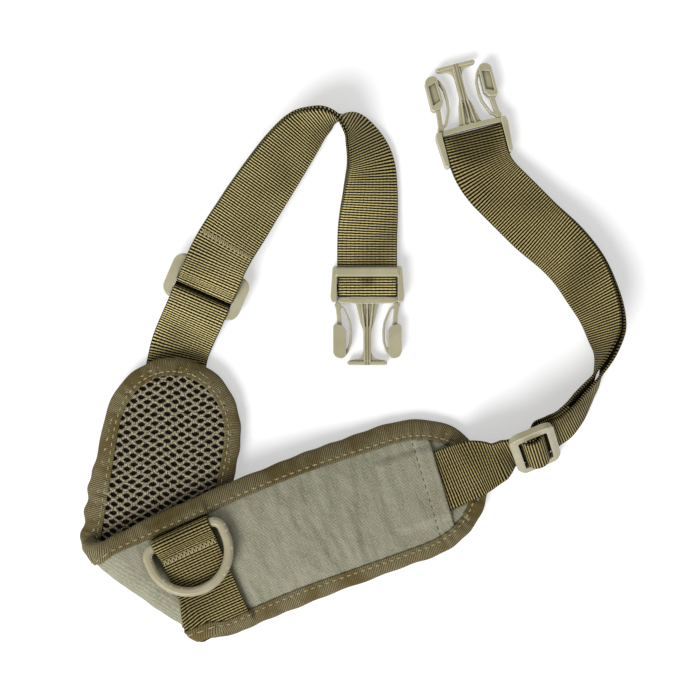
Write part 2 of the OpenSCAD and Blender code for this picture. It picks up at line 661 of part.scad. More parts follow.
module guide() {
    upright(1) polygon(concat(guide_side,
        [for (i = [len(guide_side) - 1:-1:0]) [-guide_side[i][0], guide_side[i][1]]]));
    // Ridges down the stem and along the cross piece
    for (x = [-1, 0, 1]) upright(1.9)
        polygon(band([[x * 2.6, crossbar_y], [x * 1.15, 19], [x * 1.15, guide_length - 2]], 0.9));
    upright(1.9) polygon(band([for (x = [-4:2:4]) [x * tee_width / 8.4,
        guide_length - 0.9 - 0.01 * x * x]], 1.6));
}

module buckle_frame() {
    difference() {
        union() {
            // Side walls, flared towards the crossbar
            for (m = [0, 1]) mirror([m, 0, 0])
                translate([0, 0, frame_low]) linear_extrude(outer_bar_high - frame_low - 0.4)
                    polygon([[slot_width / 2, -9], [slot_width / 2 + 0.8, -9.6],
                        [buckle_width / 2 - 0.9, -8.6], [buckle_width / 2, 4],
                        [buckle_width / 2 - 0.6, crossbar_y + 1], [slot_width / 2, crossbar_y + 1]]);
            // Bowed crossbar
            upright(crossbar_half) polygon(band([for (x = [-6:6]) [x / 6 * (slot_width / 2 + 0.5),
                crossbar_y + 0.4 - x * x / 90]], crossbar_w));
            guide();
        }
        // Seats for the roots of the two latches
        for (m = [-1, 1]) translate([m * root_x, root_y, -5])
            cylinder(r = root_r + knuckle_gap, h = 10, $fn = 48);
    }
    // Outer bar, with rounded long edges
    rotate([90, 0, 90]) translate([0, 0, -slot_width / 2 - 0.4]) linear_extrude(slot_width + 0.8)
        polygon(concat(
            arc([outer_bar_y + outer_bar_w / 2 - 0.9, outer_bar_high - 0.9], 0.9, 0, 90, 4),
            arc([outer_bar_y - outer_bar_w / 2 + 1.3, outer_bar_high - 1.3], 1.3, 90, 180, 4),
            [[outer_bar_y - outer_bar_w / 2, outer_bar_low + 0.4],
                [outer_bar_y - outer_bar_w / 2 + 0.4, outer_bar_low],
                [outer_bar_y + outer_bar_w / 2, outer_bar_low]]));
    // Middle bar
    rotate([0, 90, 0]) cylinder(r = buckle_bar_d / 2, h = slot_width + 0.8, center = true);
}

// One latch, at +x: a round root, a strut, a solid head and a thin bow inside
module latch() {
    outer = latch_width / 2;
    inner = outer - head_width;
    upright(1.6) {
        polygon(arc([root_x, root_y], root_r, 0, 345, 23));
        polygon(band([[root_x, root_y], [outer - 2.6, head_start - 3], [outer - 2.9, head_start + 1]], 2));
        polygon(band([[root_x - 0.6, root_y + 0.3], [inner + 0.9, root_y + 1.6],
            [inner - 0.3, root_y + 4.2], [inner - 1.6, head_start - 0.5], [inner - 2.1, head_start + 3.5],
            [inner - 1.9, head_start + 8], [inner - 0.6, head_end - 3],
            [inner + 1, head_end - 1.2]], 1.1));
    }
    difference() {
        upright(head_thickness / 2) polygon(concat(
            [[inner, head_start + 3], [inner + 1.6, head_start + 0.6], [outer - 1, head_start],
                [outer, head_start + 1]],
            [[outer, head_end - 4]],
            arc([outer - 3, head_end - 3], 3, 0, 90, 5),
            arc([inner + 2, head_end - 2], 2, 90, 180, 4)));
        // Hollow in the head's back
        translate([0, 0, -head_thickness / 2 - 1]) linear_extrude(2.6)
            polygon([[inner + 1, head_start + 4], [outer - 1.3, head_start + 2.5],
                [outer - 1.3, head_end - 4], [inner + 1.3, head_end - 3]]);
    }
}

// ---------- The pieces in place ----------

plastic = "#8d8a6e";
webbing_tone = "#665e38";

module left_webbing() color(webbing_tone) strap_webbing(left_spine, left_slider_s, left_bar_s, -1);
module left_buckle_turn() color(webbing_tone) strap_turn(left_spine, left_bar_s, -1);
module left_strap_bartack() color("#8c8250") strap_bartack(left_spine, left_slider_s, -1);
module left_slider() color(plastic) on_strap(left_spine, left_slider_s, -1) slider();
module left_buckle_frame() color(plastic) on_strap(left_spine, left_bar_s, -1) buckle_frame();
module left_buckle_latch_a() color(plastic) on_strap(left_spine, left_bar_s, -1) latch();
module left_buckle_latch_b() color(plastic) on_strap(left_spine, left_bar_s, -1)
    mirror([1, 0, 0]) latch();

module right_webbing() color(webbing_tone) strap_webbing(right_spine, right_slider_s, right_bar_s, 1);
module right_buckle_turn() color(webbing_tone) strap_turn(right_spine, right_bar_s, 1);
module right_strap_bartack() color("#8c8250") strap_bartack(right_spine, right_slider_s, 1);
module right_slider() color(plastic) on_strap(right_spine, right_slider_s, 1) slider();
module right_buckle_frame() color(plastic) on_strap(right_spine, right_bar_s, 1) buckle_frame();
module right_buckle_latch_a() color(plastic) on_strap(right_spine, right_bar_s, 1) latch();
module right_buckle_latch_b() color(plastic) on_strap(right_spine, right_bar_s, 1)
    mirror([1, 0, 0]) latch();

translate([-outline_middle[0], -outline_middle[1], 0]) {
    mesh_lining();
    foam_core();
    base_panel();
    outer_panel();
    edge_binding();
    cross_webbing();
    ring_bartack();
    d_ring();
    left_webbing();
    left_slider();
    left_strap_bartack();
    left_buckle_turn();
    left_buckle_frame();
    left_buckle_latch_a();
    left_buckle_latch_b();
    right_webbing();
    right_slider();
    right_strap_bartack();
    right_buckle_turn();
    right_buckle_frame();
    right_buckle_latch_a();
    right_buckle_latch_b();
}
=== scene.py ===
# %% [markdown]
# # A padded harness strap, lying folded
# The real thing is a foam pad, sewn inside a face fabric and a spacer mesh, with a strap of
# webbing from each end. Each strap threads a tri-glide and goes round the bar of a
# side-release buckle. The imported solids give every place; this lesson dresses them.

# %% Tools and the frame
import json

import bpy
import numpy as np
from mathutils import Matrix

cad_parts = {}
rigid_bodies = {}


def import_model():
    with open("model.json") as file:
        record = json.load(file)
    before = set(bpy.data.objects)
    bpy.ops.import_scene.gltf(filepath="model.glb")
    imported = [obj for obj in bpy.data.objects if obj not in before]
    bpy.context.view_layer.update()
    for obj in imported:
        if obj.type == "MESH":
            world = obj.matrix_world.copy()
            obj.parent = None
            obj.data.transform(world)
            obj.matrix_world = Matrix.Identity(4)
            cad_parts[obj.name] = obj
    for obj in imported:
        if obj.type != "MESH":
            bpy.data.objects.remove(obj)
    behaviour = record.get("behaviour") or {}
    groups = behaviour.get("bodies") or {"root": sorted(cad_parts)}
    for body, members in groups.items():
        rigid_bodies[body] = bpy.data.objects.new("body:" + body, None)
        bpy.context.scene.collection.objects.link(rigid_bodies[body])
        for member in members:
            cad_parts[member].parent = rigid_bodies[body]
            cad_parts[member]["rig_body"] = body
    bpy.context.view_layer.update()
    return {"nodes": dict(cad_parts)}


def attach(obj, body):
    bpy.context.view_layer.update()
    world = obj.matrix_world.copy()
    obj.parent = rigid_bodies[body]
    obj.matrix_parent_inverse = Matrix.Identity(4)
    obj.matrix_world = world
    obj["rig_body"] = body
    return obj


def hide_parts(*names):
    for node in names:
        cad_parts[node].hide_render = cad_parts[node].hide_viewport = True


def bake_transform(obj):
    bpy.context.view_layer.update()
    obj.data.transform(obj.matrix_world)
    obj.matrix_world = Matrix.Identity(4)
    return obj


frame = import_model()

# %% [markdown]
# ## From the drawing to Blender
# The strap is drawn in millimetres, and the drawing's zero isn't that of the solids. One
# helper brings a drawn place to Blender's metres, and another puts an object in the scene.

# %% Places and objects
MILLIMETRE = 0.001
DRAWING_MIDDLE = np.array([0.1, -0.8, 0.0])     # mm, from the drawing's zero to the solids'


def in_metres(places):
    """Drawn places, less the drawing's middle, times a thousandth."""
    return (np.asarray(places, float) - DRAWING_MIDDLE) * MILLIMETRE


def add_object(name, data):
    """A new object in the scene."""
    made = bpy.data.objects.new(name, data)
    bpy.context.scene.collection.objects.link(made)
    return made


print("the drawing's zero lies at", in_metres((0, 0, 0)), "m")

# %% [markdown]
# ## The camera
# The strap is seen from straight above, from an arm's length. A camera that looks down needs
# no turn at all, because Blender's camera looks along -Z with +Y up.

# %% Camera
EYE_HEIGHT = 0.7
FIELD_WIDTH = 0.3045    # width of the table that the view takes in
CAMERA_PLACE = (-0.000535, -0.00007)


def look_down(x, y):
    """A camera above (x, y): its field of view is twice the arc tangent of half the width
    over the height."""
    data = bpy.data.cameras.new("overhead")
    data.angle = 2 * np.arctan(FIELD_WIDTH / 2 / EYE_HEIGHT)
    data.clip_start, data.clip_end = 0.01, 10
    camera = bpy.context.scene.camera = add_object("overhead", data)
    camera.location = (x, y, EYE_HEIGHT)
    return camera


camera = look_down(*CAMERA_PLACE)
bpy.context.scene.view_settings.view_transform = "Standard"
print("camera at", tuple(camera.location), "field", round(np.degrees(camera.data.angle), 2))

# %% [markdown]
# ## Small helpers for materials
# A procedural material is a graph of nodes. Here a number in that graph is a Wire, and
# numpy's arithmetic on it adds the nodes. So a pattern is written as a plain formula, and
# the same formula can carve a mesh and colour it.

# %% Material helpers
OPERATIONS = {np.add: "ADD", np.subtract: "SUBTRACT", np.multiply: "MULTIPLY",
              np.divide: "DIVIDE", np.power: "POWER", np.absolute: "ABSOLUTE",
              np.sin: "SINE", np.cos: "COSINE", np.rint: "ROUND",
              np.minimum: "MINIMUM", np.maximum: "MAXIMUM"}


class Wire(np.lib.mixins.NDArrayOperatorsMixin):
    """The output of a node. Arithmetic on it adds the node that does the sum."""

    def __init__(self, node, output=0):
        self.tree, self.socket = node.id_data, node.outputs[output]

    def __array_ufunc__(self, ufunc, method, *values):
        return Wire(add_node(self.tree, "Math", dict(enumerate(values)),
                             operation=OPERATIONS[ufunc]))


def put(socket, value):
    """Links a wire to the socket, or sets the socket to a plain number, vector or colour."""
    if isinstance(value, Wire):
        value.tree.links.new(value.socket, socket)
    else:
        socket.default_value = value


def add_node(tree, kind, inputs, **settings):
    """A new node with its settings, and a value or a wire in each of the given inputs."""
    node = tree.nodes.new("ShaderNode" + kind)
    for name, value in settings.items():
        setattr(node, name, value)
    for name, value in inputs.items():
        put(node.inputs[name], value)
    return node


def start_material(name, roughness, sheen=0.0, specular=0.12, tint=(1, 1, 1, 1)):
    """A new material: returns it with its node tree and its main shader."""
    made = bpy.data.materials.new(name)
    made.use_nodes = True
    shader = made.node_tree.nodes["Principled BSDF"]
    for socket, value in (("Roughness", roughness), ("Sheen Weight", sheen),
                          ("Sheen Roughness", 0.5), ("Sheen Tint", tint),
                          ("Specular IOR Level", specular)):
        shader.inputs[socket].default_value = value
    return made, made.node_tree, shader


def between(value, low, high):
    """0 where value is below low, 1 above high, and a smooth step between."""
    return Wire(add_node(value.tree, "MapRange",
                         {"Value": value, "From Min": low, "From Max": high},
                         interpolation_type="SMOOTHSTEP"))


def mix(share, first, second):
    """First colour where the share is 0, second where it is 1."""
    return Wire(add_node(share.tree, "Mix", {"Factor": share, 6: first, 7: second},
                         data_type="RGBA"), 2)


def noise(place, scale, detail=2.0):
    """Smooth noise from 0 to 1."""
    return Wire(add_node(place.tree, "TexNoise",
                         {"Vector": place, "Scale": scale, "Detail": detail}), "Fac")


def wave(turn):
    """A cosine of the turn, from 0 to 1."""
    return 0.5 + 0.5 * np.cos(turn)


def bump(shader, height, distance, strength):
    """Tilts the shader's normal by a height map whose full range is distance metres."""
    node = add_node(height.tree, "Bump",
                    {"Strength": strength, "Distance": distance, "Height": height})
    put(shader.inputs["Normal"], Wire(node))


def paint(shader, colour, deep, reach=0.009):
    """Gives the shader a colour, turned to a deeper one where other surfaces close in
    within the reach in metres: painted shade in folds, holes and corners."""
    nearness = Wire(add_node(colour.tree, "AmbientOcclusion", {"Distance": reach}, samples=8),
                    "AO")
    put(shader.inputs["Base Color"], mix(between(nearness, 0.1, 0.85), deep, colour))


def cloth_place(tree):
    """The cloth's own coordinates in millimetres, u along it and v across it, from its UV map."""
    uv = Wire(add_node(tree, "UVMap", {}, uv_map="cloth"))
    split = add_node(tree, "SeparateXYZ", {0: uv})
    return uv, Wire(split, "X"), Wire(split, "Y")


def object_place(tree):
    """A point's place in metres, in the frame of the solids."""
    return Wire(add_node(tree, "TexCoord", {}), "Object")


def rgb(red, green, blue):
    """A colour named by its screen values from 0 to 255, made linear."""
    c = np.array([red, green, blue]) / 255
    linear = np.where(c <= 0.04045, c / 12.92, ((c + 0.055) / 1.055) ** 2.4)
    return (*[float(x) for x in linear], 1.0)


print("a mid grey is", rgb(128, 128, 128)[:3])

# %% [markdown]
# ## Webbing
# Harness webbing is woven with heavy cross threads, so it shows ribs across the strap, split
# into short bars by the lengthwise threads. The pattern follows the cloth's own coordinates:
# a cosine along the strap makes the ribs, and a sine across it cuts them up.

# %% Webbing material
RIB_PITCH = 1.12        # mm from rib to rib along the strap
BAR_PITCH = 1.8         # mm from bar to bar across it


def webbing_material(name, rib_colour, shade_place, full_shade_within, no_shade_past):
    """Ribs of the given colour, with the grooves between them painted near black as painted
    shade. Round one place the ribs are dulled as painted shade, wholly within one distance and
    not at all past another, in millimetres."""
    made, tree, shader = start_material(name, 0.7, 0.02, 0.05, rgb(214, 200, 150))
    uv, u, v = cloth_place(tree)
    wander = 0.3 * (noise(uv, 0.35) - 0.5)
    rib = wave(2 * np.pi / RIB_PITCH * (u + wander))
    cut = np.abs(np.sin(np.pi / BAR_PITCH * v)) ** 0.45
    height = rib * (0.64 + 0.36 * cut)
    speck = between(noise(uv, 1.9, 3), 0.3, 0.7)
    # Large soft patches where the ribs are dulled: painted shade for ribs that turn from the
    # light.
    tone_and_shade_patches = between(noise(uv, 0.035, 1), 0.4, 0.75)
    # Near both edges the ribs are dulled too: painted shade along the rounded edges.
    edge = between(np.abs(v), 12.2, 12.75)
    # Round the given place the ribs are dulled: painted shade where the strap dips to the
    # buckle's bar.
    apart = Wire(add_node(tree, "VectorMath", {0: object_place(tree), 1: in_metres(shade_place)},
                          operation="DISTANCE"), "Value")
    painted_shade = between(apart, no_shade_past * MILLIMETRE, full_shade_within * MILLIMETRE)
    dull = np.maximum(np.maximum(0.4 * tone_and_shade_patches, 0.6 * edge), 0.55 * painted_shade)
    light = between(height, 0.38, 0.85) * (0.65 + 0.35 * speck) * (1 - dull)
    # The grooves between the ribs are painted near black: painted shade.
    paint(shader, mix(light, rgb(15, 9, 0), rib_colour), rgb(14, 9, 0))
    bump(shader, height, 0.00022, 0.9)
    return made


# Two copies of one webbing. The second has darker ribs: on the right strap they are painted
# shade, as its ribs catch less of the lamp; the strip across the pad takes it too.
webbing_look = webbing_material("webbing", rgb(238, 221, 154), (7, 30, 4), 3, 6)
shaded_webbing_look = webbing_material("webbing_shaded", rgb(196, 179, 120), (53, 90, 6), 7, 17)
print("webbing: rib pitch", RIB_PITCH, "mm, bar pitch", BAR_PITCH, "mm")

# %% [markdown]
# ## Binding tape and thread
# Grosgrain tape has fine ribs across its narrow width. Thread is the same everywhere: a
# light polyester with a twist that runs round it.

# %% Binding and thread materials
GROSGRAIN_PITCH = 0.78  # mm


def binding_material():
    """A cosine along the tape, leaning a little, makes its ribs, their troughs painted darker as
    painted shade. Soft darker patches lie over them."""
    made, tree, shader = start_material("binding_tape", 0.7, 0.08, tint=rgb(190, 180, 140))
    uv, u, v = cloth_place(tree)
    rib = wave(2 * np.pi / GROSGRAIN_PITCH * (u + 0.12 * v))
    thread = between(noise(uv, 2.3), 0.25, 0.75)
    patch = between(noise(uv, 0.06, 4), 0.42, 0.64)
    colour = mix(rib * (0.5 + 0.6 * thread), rgb(56, 46, 18), rgb(160, 149, 114))
    paint(shader, mix(0.72 * patch, colour, rgb(84, 69, 26)), rgb(44, 34, 12))
    bump(shader, rib, 0.00012, 0.8)
    return made


def thread_material(name, colour_low, colour_high):
    """Very fine noise stands for the twist, in the colour and in the bump."""
    made, tree, shader = start_material(name, 0.6, 0.2)
    twist = noise(object_place(tree), 2600, 1)
    put(shader.inputs["Base Color"], mix(twist, colour_low, colour_high))
    bump(shader, twist, 0.0001, 0.6)
    return made


binding_look = binding_material()
thread_look = thread_material("thread", rgb(132, 120, 80), rgb(196, 184, 142))
dark_thread_look = thread_material("hem_thread", rgb(70, 62, 40), rgb(120, 112, 84))
print("tape ribs every", GROSGRAIN_PITCH, "mm")

# %% [markdown]
# ## Face fabric
# The face is a matte woven nylon in a sage green. Its weave is too fine to model, so two
# crossed sets of threads and a slanting twill are in the colour and the bump, with a heavier
# thread every few millimetres, and soft patches where it has been handled. Drapes are long
# soft folds in the bump, their crests painted lighter as a painted highlight.

# %% Face fabric material
WEAVE_PITCH, HEAVY_PITCH, TWILL_TURN = 0.55, 4.4, 5.1    # mm, mm, radians a millimetre


def fabric_material():
    """Sines along and across make the weave, a slanting sine the twill, and long soft noise
    the drapes. Each adds its own tint and its own height; the drapes' lighter tint is a
    painted highlight on their crests."""
    made, tree, shader = start_material("face_fabric", 0.78, 0.12)
    uv, u, v = cloth_place(tree)
    warp, weft = (np.sin(2 * np.pi / WEAVE_PITCH * c) for c in (u, v))
    weave = 0.5 + 0.5 * warp * weft
    heavy = np.maximum(*(between(np.cos(2 * np.pi / HEAVY_PITCH * c), 0.93, 1.0)
                         for c in (u, v)))
    twill = 0.5 + 0.5 * np.sin(TWILL_TURN * (u + 0.62 * v + 0.9 * noise(uv, 0.5, 1)))
    stretched = Wire(add_node(tree, "CombineXYZ", {"X": u + 0.07 * v, "Y": 0.3 * v}))
    thread, drape = noise(uv, 1.3, 4), noise(stretched, 0.17, 3)
    colour = mix(between(noise(uv, 0.09, 4), 0.3, 0.72), rgb(138, 138, 115),
                 rgb(162, 161, 140))
    # The drapes' lighter tint falls on their crests: a painted highlight.
    for share, tint in ((0.35 * between(drape, 0.4, 0.62), rgb(190, 184, 164)),
                        (0.6 * between(thread, 0.38, 0.66), rgb(190, 187, 164)),
                        (0.3 * weave, rgb(112, 111, 88)), (0.34 * twill, rgb(98, 98, 76)),
                        (0.07 * heavy, rgb(188, 186, 164))):
        colour = mix(share, colour, tint)
    paint(shader, colour, rgb(88, 86, 64))
    bump(shader, 0.5 * weave + 0.4 * heavy + 0.9 * thread + 7.0 * drape, 0.0002, 0.8)
    return made


fabric_look = fabric_material()
print("face fabric: weave pitch", WEAVE_PITCH, "mm")

# %% [markdown]
# ## Spacer mesh
# The side that lies on the wearer is a knitted spacer mesh: rows of pointed oval holes, each
# row shifted by half a hole, through a springy layer. One formula gives both the carved
# shape and the colour: the distance from the nearest hole's centre, measured so that the
# curve of equal distance is an eye shape.

# %% Mesh pattern and material
HOLE_PITCH = (5.8, 3.75)    # mm along a row of holes, and from a row to the one after next
HOLE_REACH = (1.58, 0.98)   # mm from a hole's centre to its points and to its sides
HOLE_POWER = 1.5
MESH_TURN = 9.5             # degrees that the rows lean against the pad
WARP = 0.45                 # mm that the rows wander from straight lines


def hole_distance(u, v):
    """1 on a hole's rim, less inside, for numbers or for wires. The rows first wander by
    sines. For each of two lattices, one shifted by half a step, the offset from the nearest
    centre is divided by the reach and raised to the power."""
    u, v = u + WARP * np.sin(0.3 * v + 0.4), v + WARP * np.sin(0.37 * u)
    c, s = float(np.cos(np.radians(MESH_TURN))), float(np.sin(np.radians(MESH_TURN)))
    cells = (c * v + s * u) / HOLE_PITCH[0], (c * u - s * v) / HOLE_PITCH[1]
    found = []
    for shift in (0, 0.5):
        a, b = (np.abs(cell + shift - np.rint(cell + shift)) * (pitch / reach)
                for cell, pitch, reach in zip(cells, HOLE_PITCH, HOLE_REACH))
        found.append(a ** HOLE_POWER + b ** HOLE_POWER)
    return np.minimum(*found)


def mesh_material():
    """Yarn of two tones, with a sine across for its loops, and painted near black inside the
    holes as painted shade.
    """
    made, tree, shader = start_material("spacer_mesh", 0.8, 0.1)
    uv, u, v = cloth_place(tree)
    yarn = between(noise(uv, 1.5, 4), 0.36, 0.66)
    loops = 0.5 + 0.5 * np.sin(7.6 * v)
    strand = mix(yarn, rgb(80, 70, 48), rgb(198, 188, 160))
    strand = mix(0.3 * loops, strand, rgb(76, 67, 46))
    colour = mix(between(hole_distance(u, v), 1.2, 0.85), strand, rgb(14, 8, 1))
    # The long reach of the painted shade darkens the mesh where the upper wing hangs over it.
    paint(shader, colour, rgb(18, 12, 4), 0.028)
    bump(shader, 0.5 * yarn + 0.5 * loops, 0.00015, 0.7)
    return made


mesh_look = mesh_material()
print("holes", HOLE_PITCH, "mm apart, two to a cell")

# %% [markdown]
# ## Moulded plastic and foam
# The hardware is matte acetal. It has a fine eroded grain, faint flow marks, edges that
# catch the light, painted pale as a painted highlight, and corners painted dark as painted
# shade. Foam is hidden inside the pad, and is a pale mass of fine cells.

# %% Plastic and foam materials
# A prong's two channels are painted dark: painted shade of its grooves.
CHANNEL = (0.18, 0.4, 0.7, 0.95)    # mm aside, where a prong's channel deepens and ends
PRONG_START = (8.5, 9.5)            # mm past the bar


def plastic_material(name, colour, tone_and_shade_patches, prong=None):
    """Matte plastic: painted pale on its rounded edges as a painted highlight, and painted dark
    in its corners and pockets as painted shade. A prong is given as an origin and two unit
    directions, across and along; it gets two channels painted dark as painted shade of grooves."""
    made, tree, shader = start_material(name, 0.4, specular=0.55)
    place = object_place(tree)
    grain = noise(place, 3200)
    edge = Wire(add_node(tree, "NewGeometry", {}), "Pointiness")
    shade = mix(between(noise(place, 90, 3), 0.3, 0.75), colour, tone_and_shade_patches)
    # Painted highlight on the convex edges, and painted shade in the concave corners.
    shade = mix(0.8 * between(edge, 0.51, 0.56), shade, rgb(222, 218, 196))
    shade = mix(0.85 * between(edge, 0.49, 0.44), shade, rgb(74, 62, 32))
    if prong:
        origin, *directions = prong
        across, along = (Wire(add_node(tree, "VectorMath", {0: place, 1: d},
                                       operation="DOT_PRODUCT"), "Value")
                         - float(origin @ d) for d in directions)
        aside = np.abs(across)
        a, b, c, d = (x * MILLIMETRE for x in CHANNEL)
        start, full = (x * MILLIMETRE for x in PRONG_START)
        channel = between(aside, a, b) * between(aside, d, c) * between(along, start, full)
        shade = mix(0.75 * channel, shade, rgb(84, 72, 40))
    # The dark colour that paint turns to where surfaces close in: painted shade.
    deep = (0.22 * colour[0], 0.19 * colour[1], 0.13 * colour[2], 1.0)
    paint(shader, shade, deep, 0.0045)
    put(shader.inputs["Roughness"], 0.28 + 0.14 * grain)
    bump(shader, grain, 0.00004, 0.7)
    return made


def foam_material():
    """A Voronoi pattern stands for the cells."""
    made, tree, shader = start_material("foam", 0.9)
    cells = Wire(add_node(tree, "TexVoronoi", {"Vector": object_place(tree), "Scale": 1600}),
                 "Distance")
    put(shader.inputs["Base Color"], mix(cells, rgb(196, 192, 176), rgb(226, 222, 206)))
    bump(shader, cells, 0.0002, 0.6)
    return made


BUCKLE_COLOURS = rgb(157, 151, 119), rgb(170, 164, 134)
buckle_look = plastic_material("buckle_plastic", *BUCKLE_COLOURS)
ring_look = plastic_material("ring_plastic", rgb(158, 150, 121), rgb(172, 164, 136))
foam_look = foam_material()
print("plastic and foam ready")

# %% [markdown]
# ## One helper for every soft shape
# Each soft piece here is a closed skin: a profile, which is a closed row of points, carried
# from station to station. The grid's rows are the stations and its columns go round the
# profile. The helper closes the skin, turns its faces outward and stores the cloth's own
# coordinates.

# %% Skin helper
def skin(name, grid, uv, ring=False):
    """A closed mesh from a grid of points in millimetres, shape (stations, around, 3). The
    last column repeats the first one, and so does the last row of a ring. uv has a pair for
    each point. Where the signed volume is below 0, the faces point inward and are turned."""
    rows, columns = grid.shape[:2]
    index = np.arange(rows * columns).reshape(rows, columns)
    index[:, -1] = index[:, 0]
    if ring:
        index[-1] = index[0]
    corner = np.arange(rows * columns).reshape(rows, columns)

    def quads(a):
        """The four corners of every cell of the grid."""
        return np.stack([a[:-1, :-1], a[:-1, 1:], a[1:, 1:], a[1:, :-1]], -1).reshape(-1, 4)

    points = in_metres(grid.reshape(-1, 3))
    ends = [] if ring else [index[0, :-1][::-1], index[-1, :-1]]
    middle = points.mean(axis=0)
    a, b, c, d = (points[k] - middle for k in quads(index).T)
    volume = np.einsum("ij,ij->", np.cross(c - a, d - b), a + b + c + d) / 24
    for end in ends:
        e = points[end] - middle
        volume += np.cross(e, np.roll(e, -1, axis=0)).sum(axis=0) @ e.mean(axis=0) / 6
    turned = slice(None, None, -1 if volume < 0 else 1)
    faces, corners = ([face[turned] for face in [*quads(a), *ends]] for a in (index, corner))
    used, flat = np.unique(np.concatenate(faces), return_inverse=True)
    starts = np.cumsum([len(face) for face in faces])[:-1]
    mesh = bpy.data.meshes.new(name)
    mesh.from_pydata(points[used], [], [face.tolist() for face in np.split(flat, starts)])
    cloth = uv.reshape(-1, 2)[np.concatenate(corners)].astype(np.float32)
    mesh.uv_layers.new(name="cloth").data.foreach_set("uv", cloth.ravel())
    mesh.shade_smooth()
    print(name, len(mesh.vertices), "points,", len(mesh.polygons), "faces")
    return add_object(name, mesh)


def dress(piece, look, slot, body, *nodes):
    """Gives a piece its material, stands it for its solids, and lets it ride on its body.
    The slot is not used."""
    piece.data.materials.clear()
    piece.data.materials.append(look)
    if nodes:
        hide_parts(*nodes)
    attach(piece, body)
    return piece


def join(name, pieces):
    """Joins several closed skins into one object, and keeps their UV maps."""
    for other in bpy.context.view_layer.objects:
        other.select_set(False)
    for piece in pieces:
        piece.select_set(True)
    bpy.context.view_layer.objects.active = pieces[0]
    bpy.ops.object.join()
    pieces[0].name = pieces[0].data.name = name
    return pieces[0]


print("skin helper ready")

# %% [markdown]
# ## The pad's own shape
# The pad is cut as a long shape with round noses and a slight curve, then folded over a
# slanted crease. So a place on it is found in two steps: first flat, from s along it and t
# across it, then rolled over the crease with w, its height from the middle of the stack.

# %% Pad formulas
HALF_LENGTH, HALF_WIDTH, NOSE = 129.0, 30.0, 38.0
CURVE_RADIUS = 750.0
PAD_MIDDLE, PAD_HEADING = np.array([-63.5, -95.0]), 24.5
FOLD_ANGLE, FOLD_RADIUS, FOLD_START = 145.5, 5.5, 16.5
UNDER_WING_Z, UPPER_WING_Z = 6.4, 17.4
FALL, FALL_START, FALL_LENGTH = 13.5, 35.0, 90.0


def pairs(x, y):
    """Two arrays, spread to one shape, as pairs."""
    return np.stack(np.broadcast_arrays(x, y), axis=-1)


def heading(degrees):
    """The unit vector at an angle from +X."""
    return pairs(np.cos(np.radians(degrees)), np.sin(np.radians(degrees)))


def smooth(x):
    """0 below 0, 1 above 1, and 3x squared minus 2x cubed between."""
    q = np.clip(x, 0, 1)
    return q * q * (3 - 2 * q)


def bell(x):
    """A bell curve: 1 at 0, and e to the minus x squared elsewhere."""
    return np.exp(-x * x)


def nose_width(s, half_length=HALF_LENGTH, half_width=HALF_WIDTH):
    """Half the width at s: full between the noses, and in them the half width times the root
    of 1 minus q to the 2.4, where q goes from 0 to 1 along the nose."""
    q = np.clip((np.abs(s) - (half_length - NOSE)) / NOSE, 0, 1)
    return half_width * np.sqrt(np.maximum(1 - q ** 2.4, 0))


def pad_flat(s, t):
    """The pad's middle, plus s along a chord of its slight curve, plus t square to it."""
    bend = np.degrees(s / CURVE_RADIUS)
    return (PAD_MIDDLE + s[..., None] * heading(PAD_HEADING - bend / 2)
            + t[..., None] * heading(PAD_HEADING - bend + 90))


def pad_fold(p, w):
    """Rolls a flat point over the crease: before it the point keeps its place, within it the
    point turns on a circle of the fold's radius plus w, and past it the point comes back
    underneath. The upper wing also comes down to the table along a smooth step."""
    along = heading(FOLD_ANGLE)
    normal = np.array([along[1], -along[0]])
    start = PAD_MIDDLE - FOLD_START * heading(PAD_HEADING)
    a, b = (p - start) @ normal, (p - start) @ along
    turn = np.clip(-a / FOLD_RADIUS, 0, np.pi)
    rest = np.maximum(-a - np.pi * FOLD_RADIUS, 0)
    above = a >= 0
    across = np.where(above, a, rest - (FOLD_RADIUS + w) * np.sin(turn))
    fall = FALL * smooth((a - FALL_START) / FALL_LENGTH)
    z = np.where(above, UPPER_WING_Z - fall + w,
                 UNDER_WING_Z + FOLD_RADIUS + (FOLD_RADIUS + w) * np.cos(turn))
    xy = start + across[..., None] * normal + b[..., None] * along
    return np.concatenate([xy, z[..., None]], axis=-1)


def pad_point(s, t, w):
    """The place in space of s along, t across and w above the pad's middle surface."""
    s, t, w = np.broadcast_arrays(*[np.asarray(x, float) for x in (s, t, w)])
    return pad_fold(pad_flat(s, t), w)


print("nose tip at", pad_point(HALF_LENGTH, 0.0, 0.0))

# %% [markdown]
# ## Layers of the pad
# From the wearer outward the pad is mesh, foam, base fabric and face fabric. At its edge all
# of them are pinched under the binding tape, and they swell to full height over a narrow
# band. Every layer is a pair of heights above the middle surface, so they cannot cross.

# %% Heights of the layers
FACE_THICKNESS, LINING_THICKNESS = 0.8, 1.6
LAYER_GAP = 0.03        # mm left between two layers, so that they don't touch
LINING_HEIGHT, LINING_SWELL = 2.9, 0.8      # mm from the middle surface, and more inside
BASE_HEIGHT, BASE_SWELL = 2.3, 1.4
TAPE_WIDTH = 7.3        # mm that the tape covers on each face
SWELL = 14.0            # mm over which the pad swells to full height
PINCHED = 5.0           # mm from the edge where the swelling starts
HEM, HEM_STITCH_IN = 109.0, 7.2     # mm from the pad's middle, and in from there
TAIL_START = 87.0       # mm from the pad's middle, where the sewn-in webbing starts
WEBBING_WIDTH, WEBBING_THICKNESS = 25.0, 1.3
CREASE_SLANT = -0.554   # lean of the rows that lie along the crease
FOLD_END = 36.7
HOLE_DEPTH = 1.25       # mm that a hole is carved into the mesh


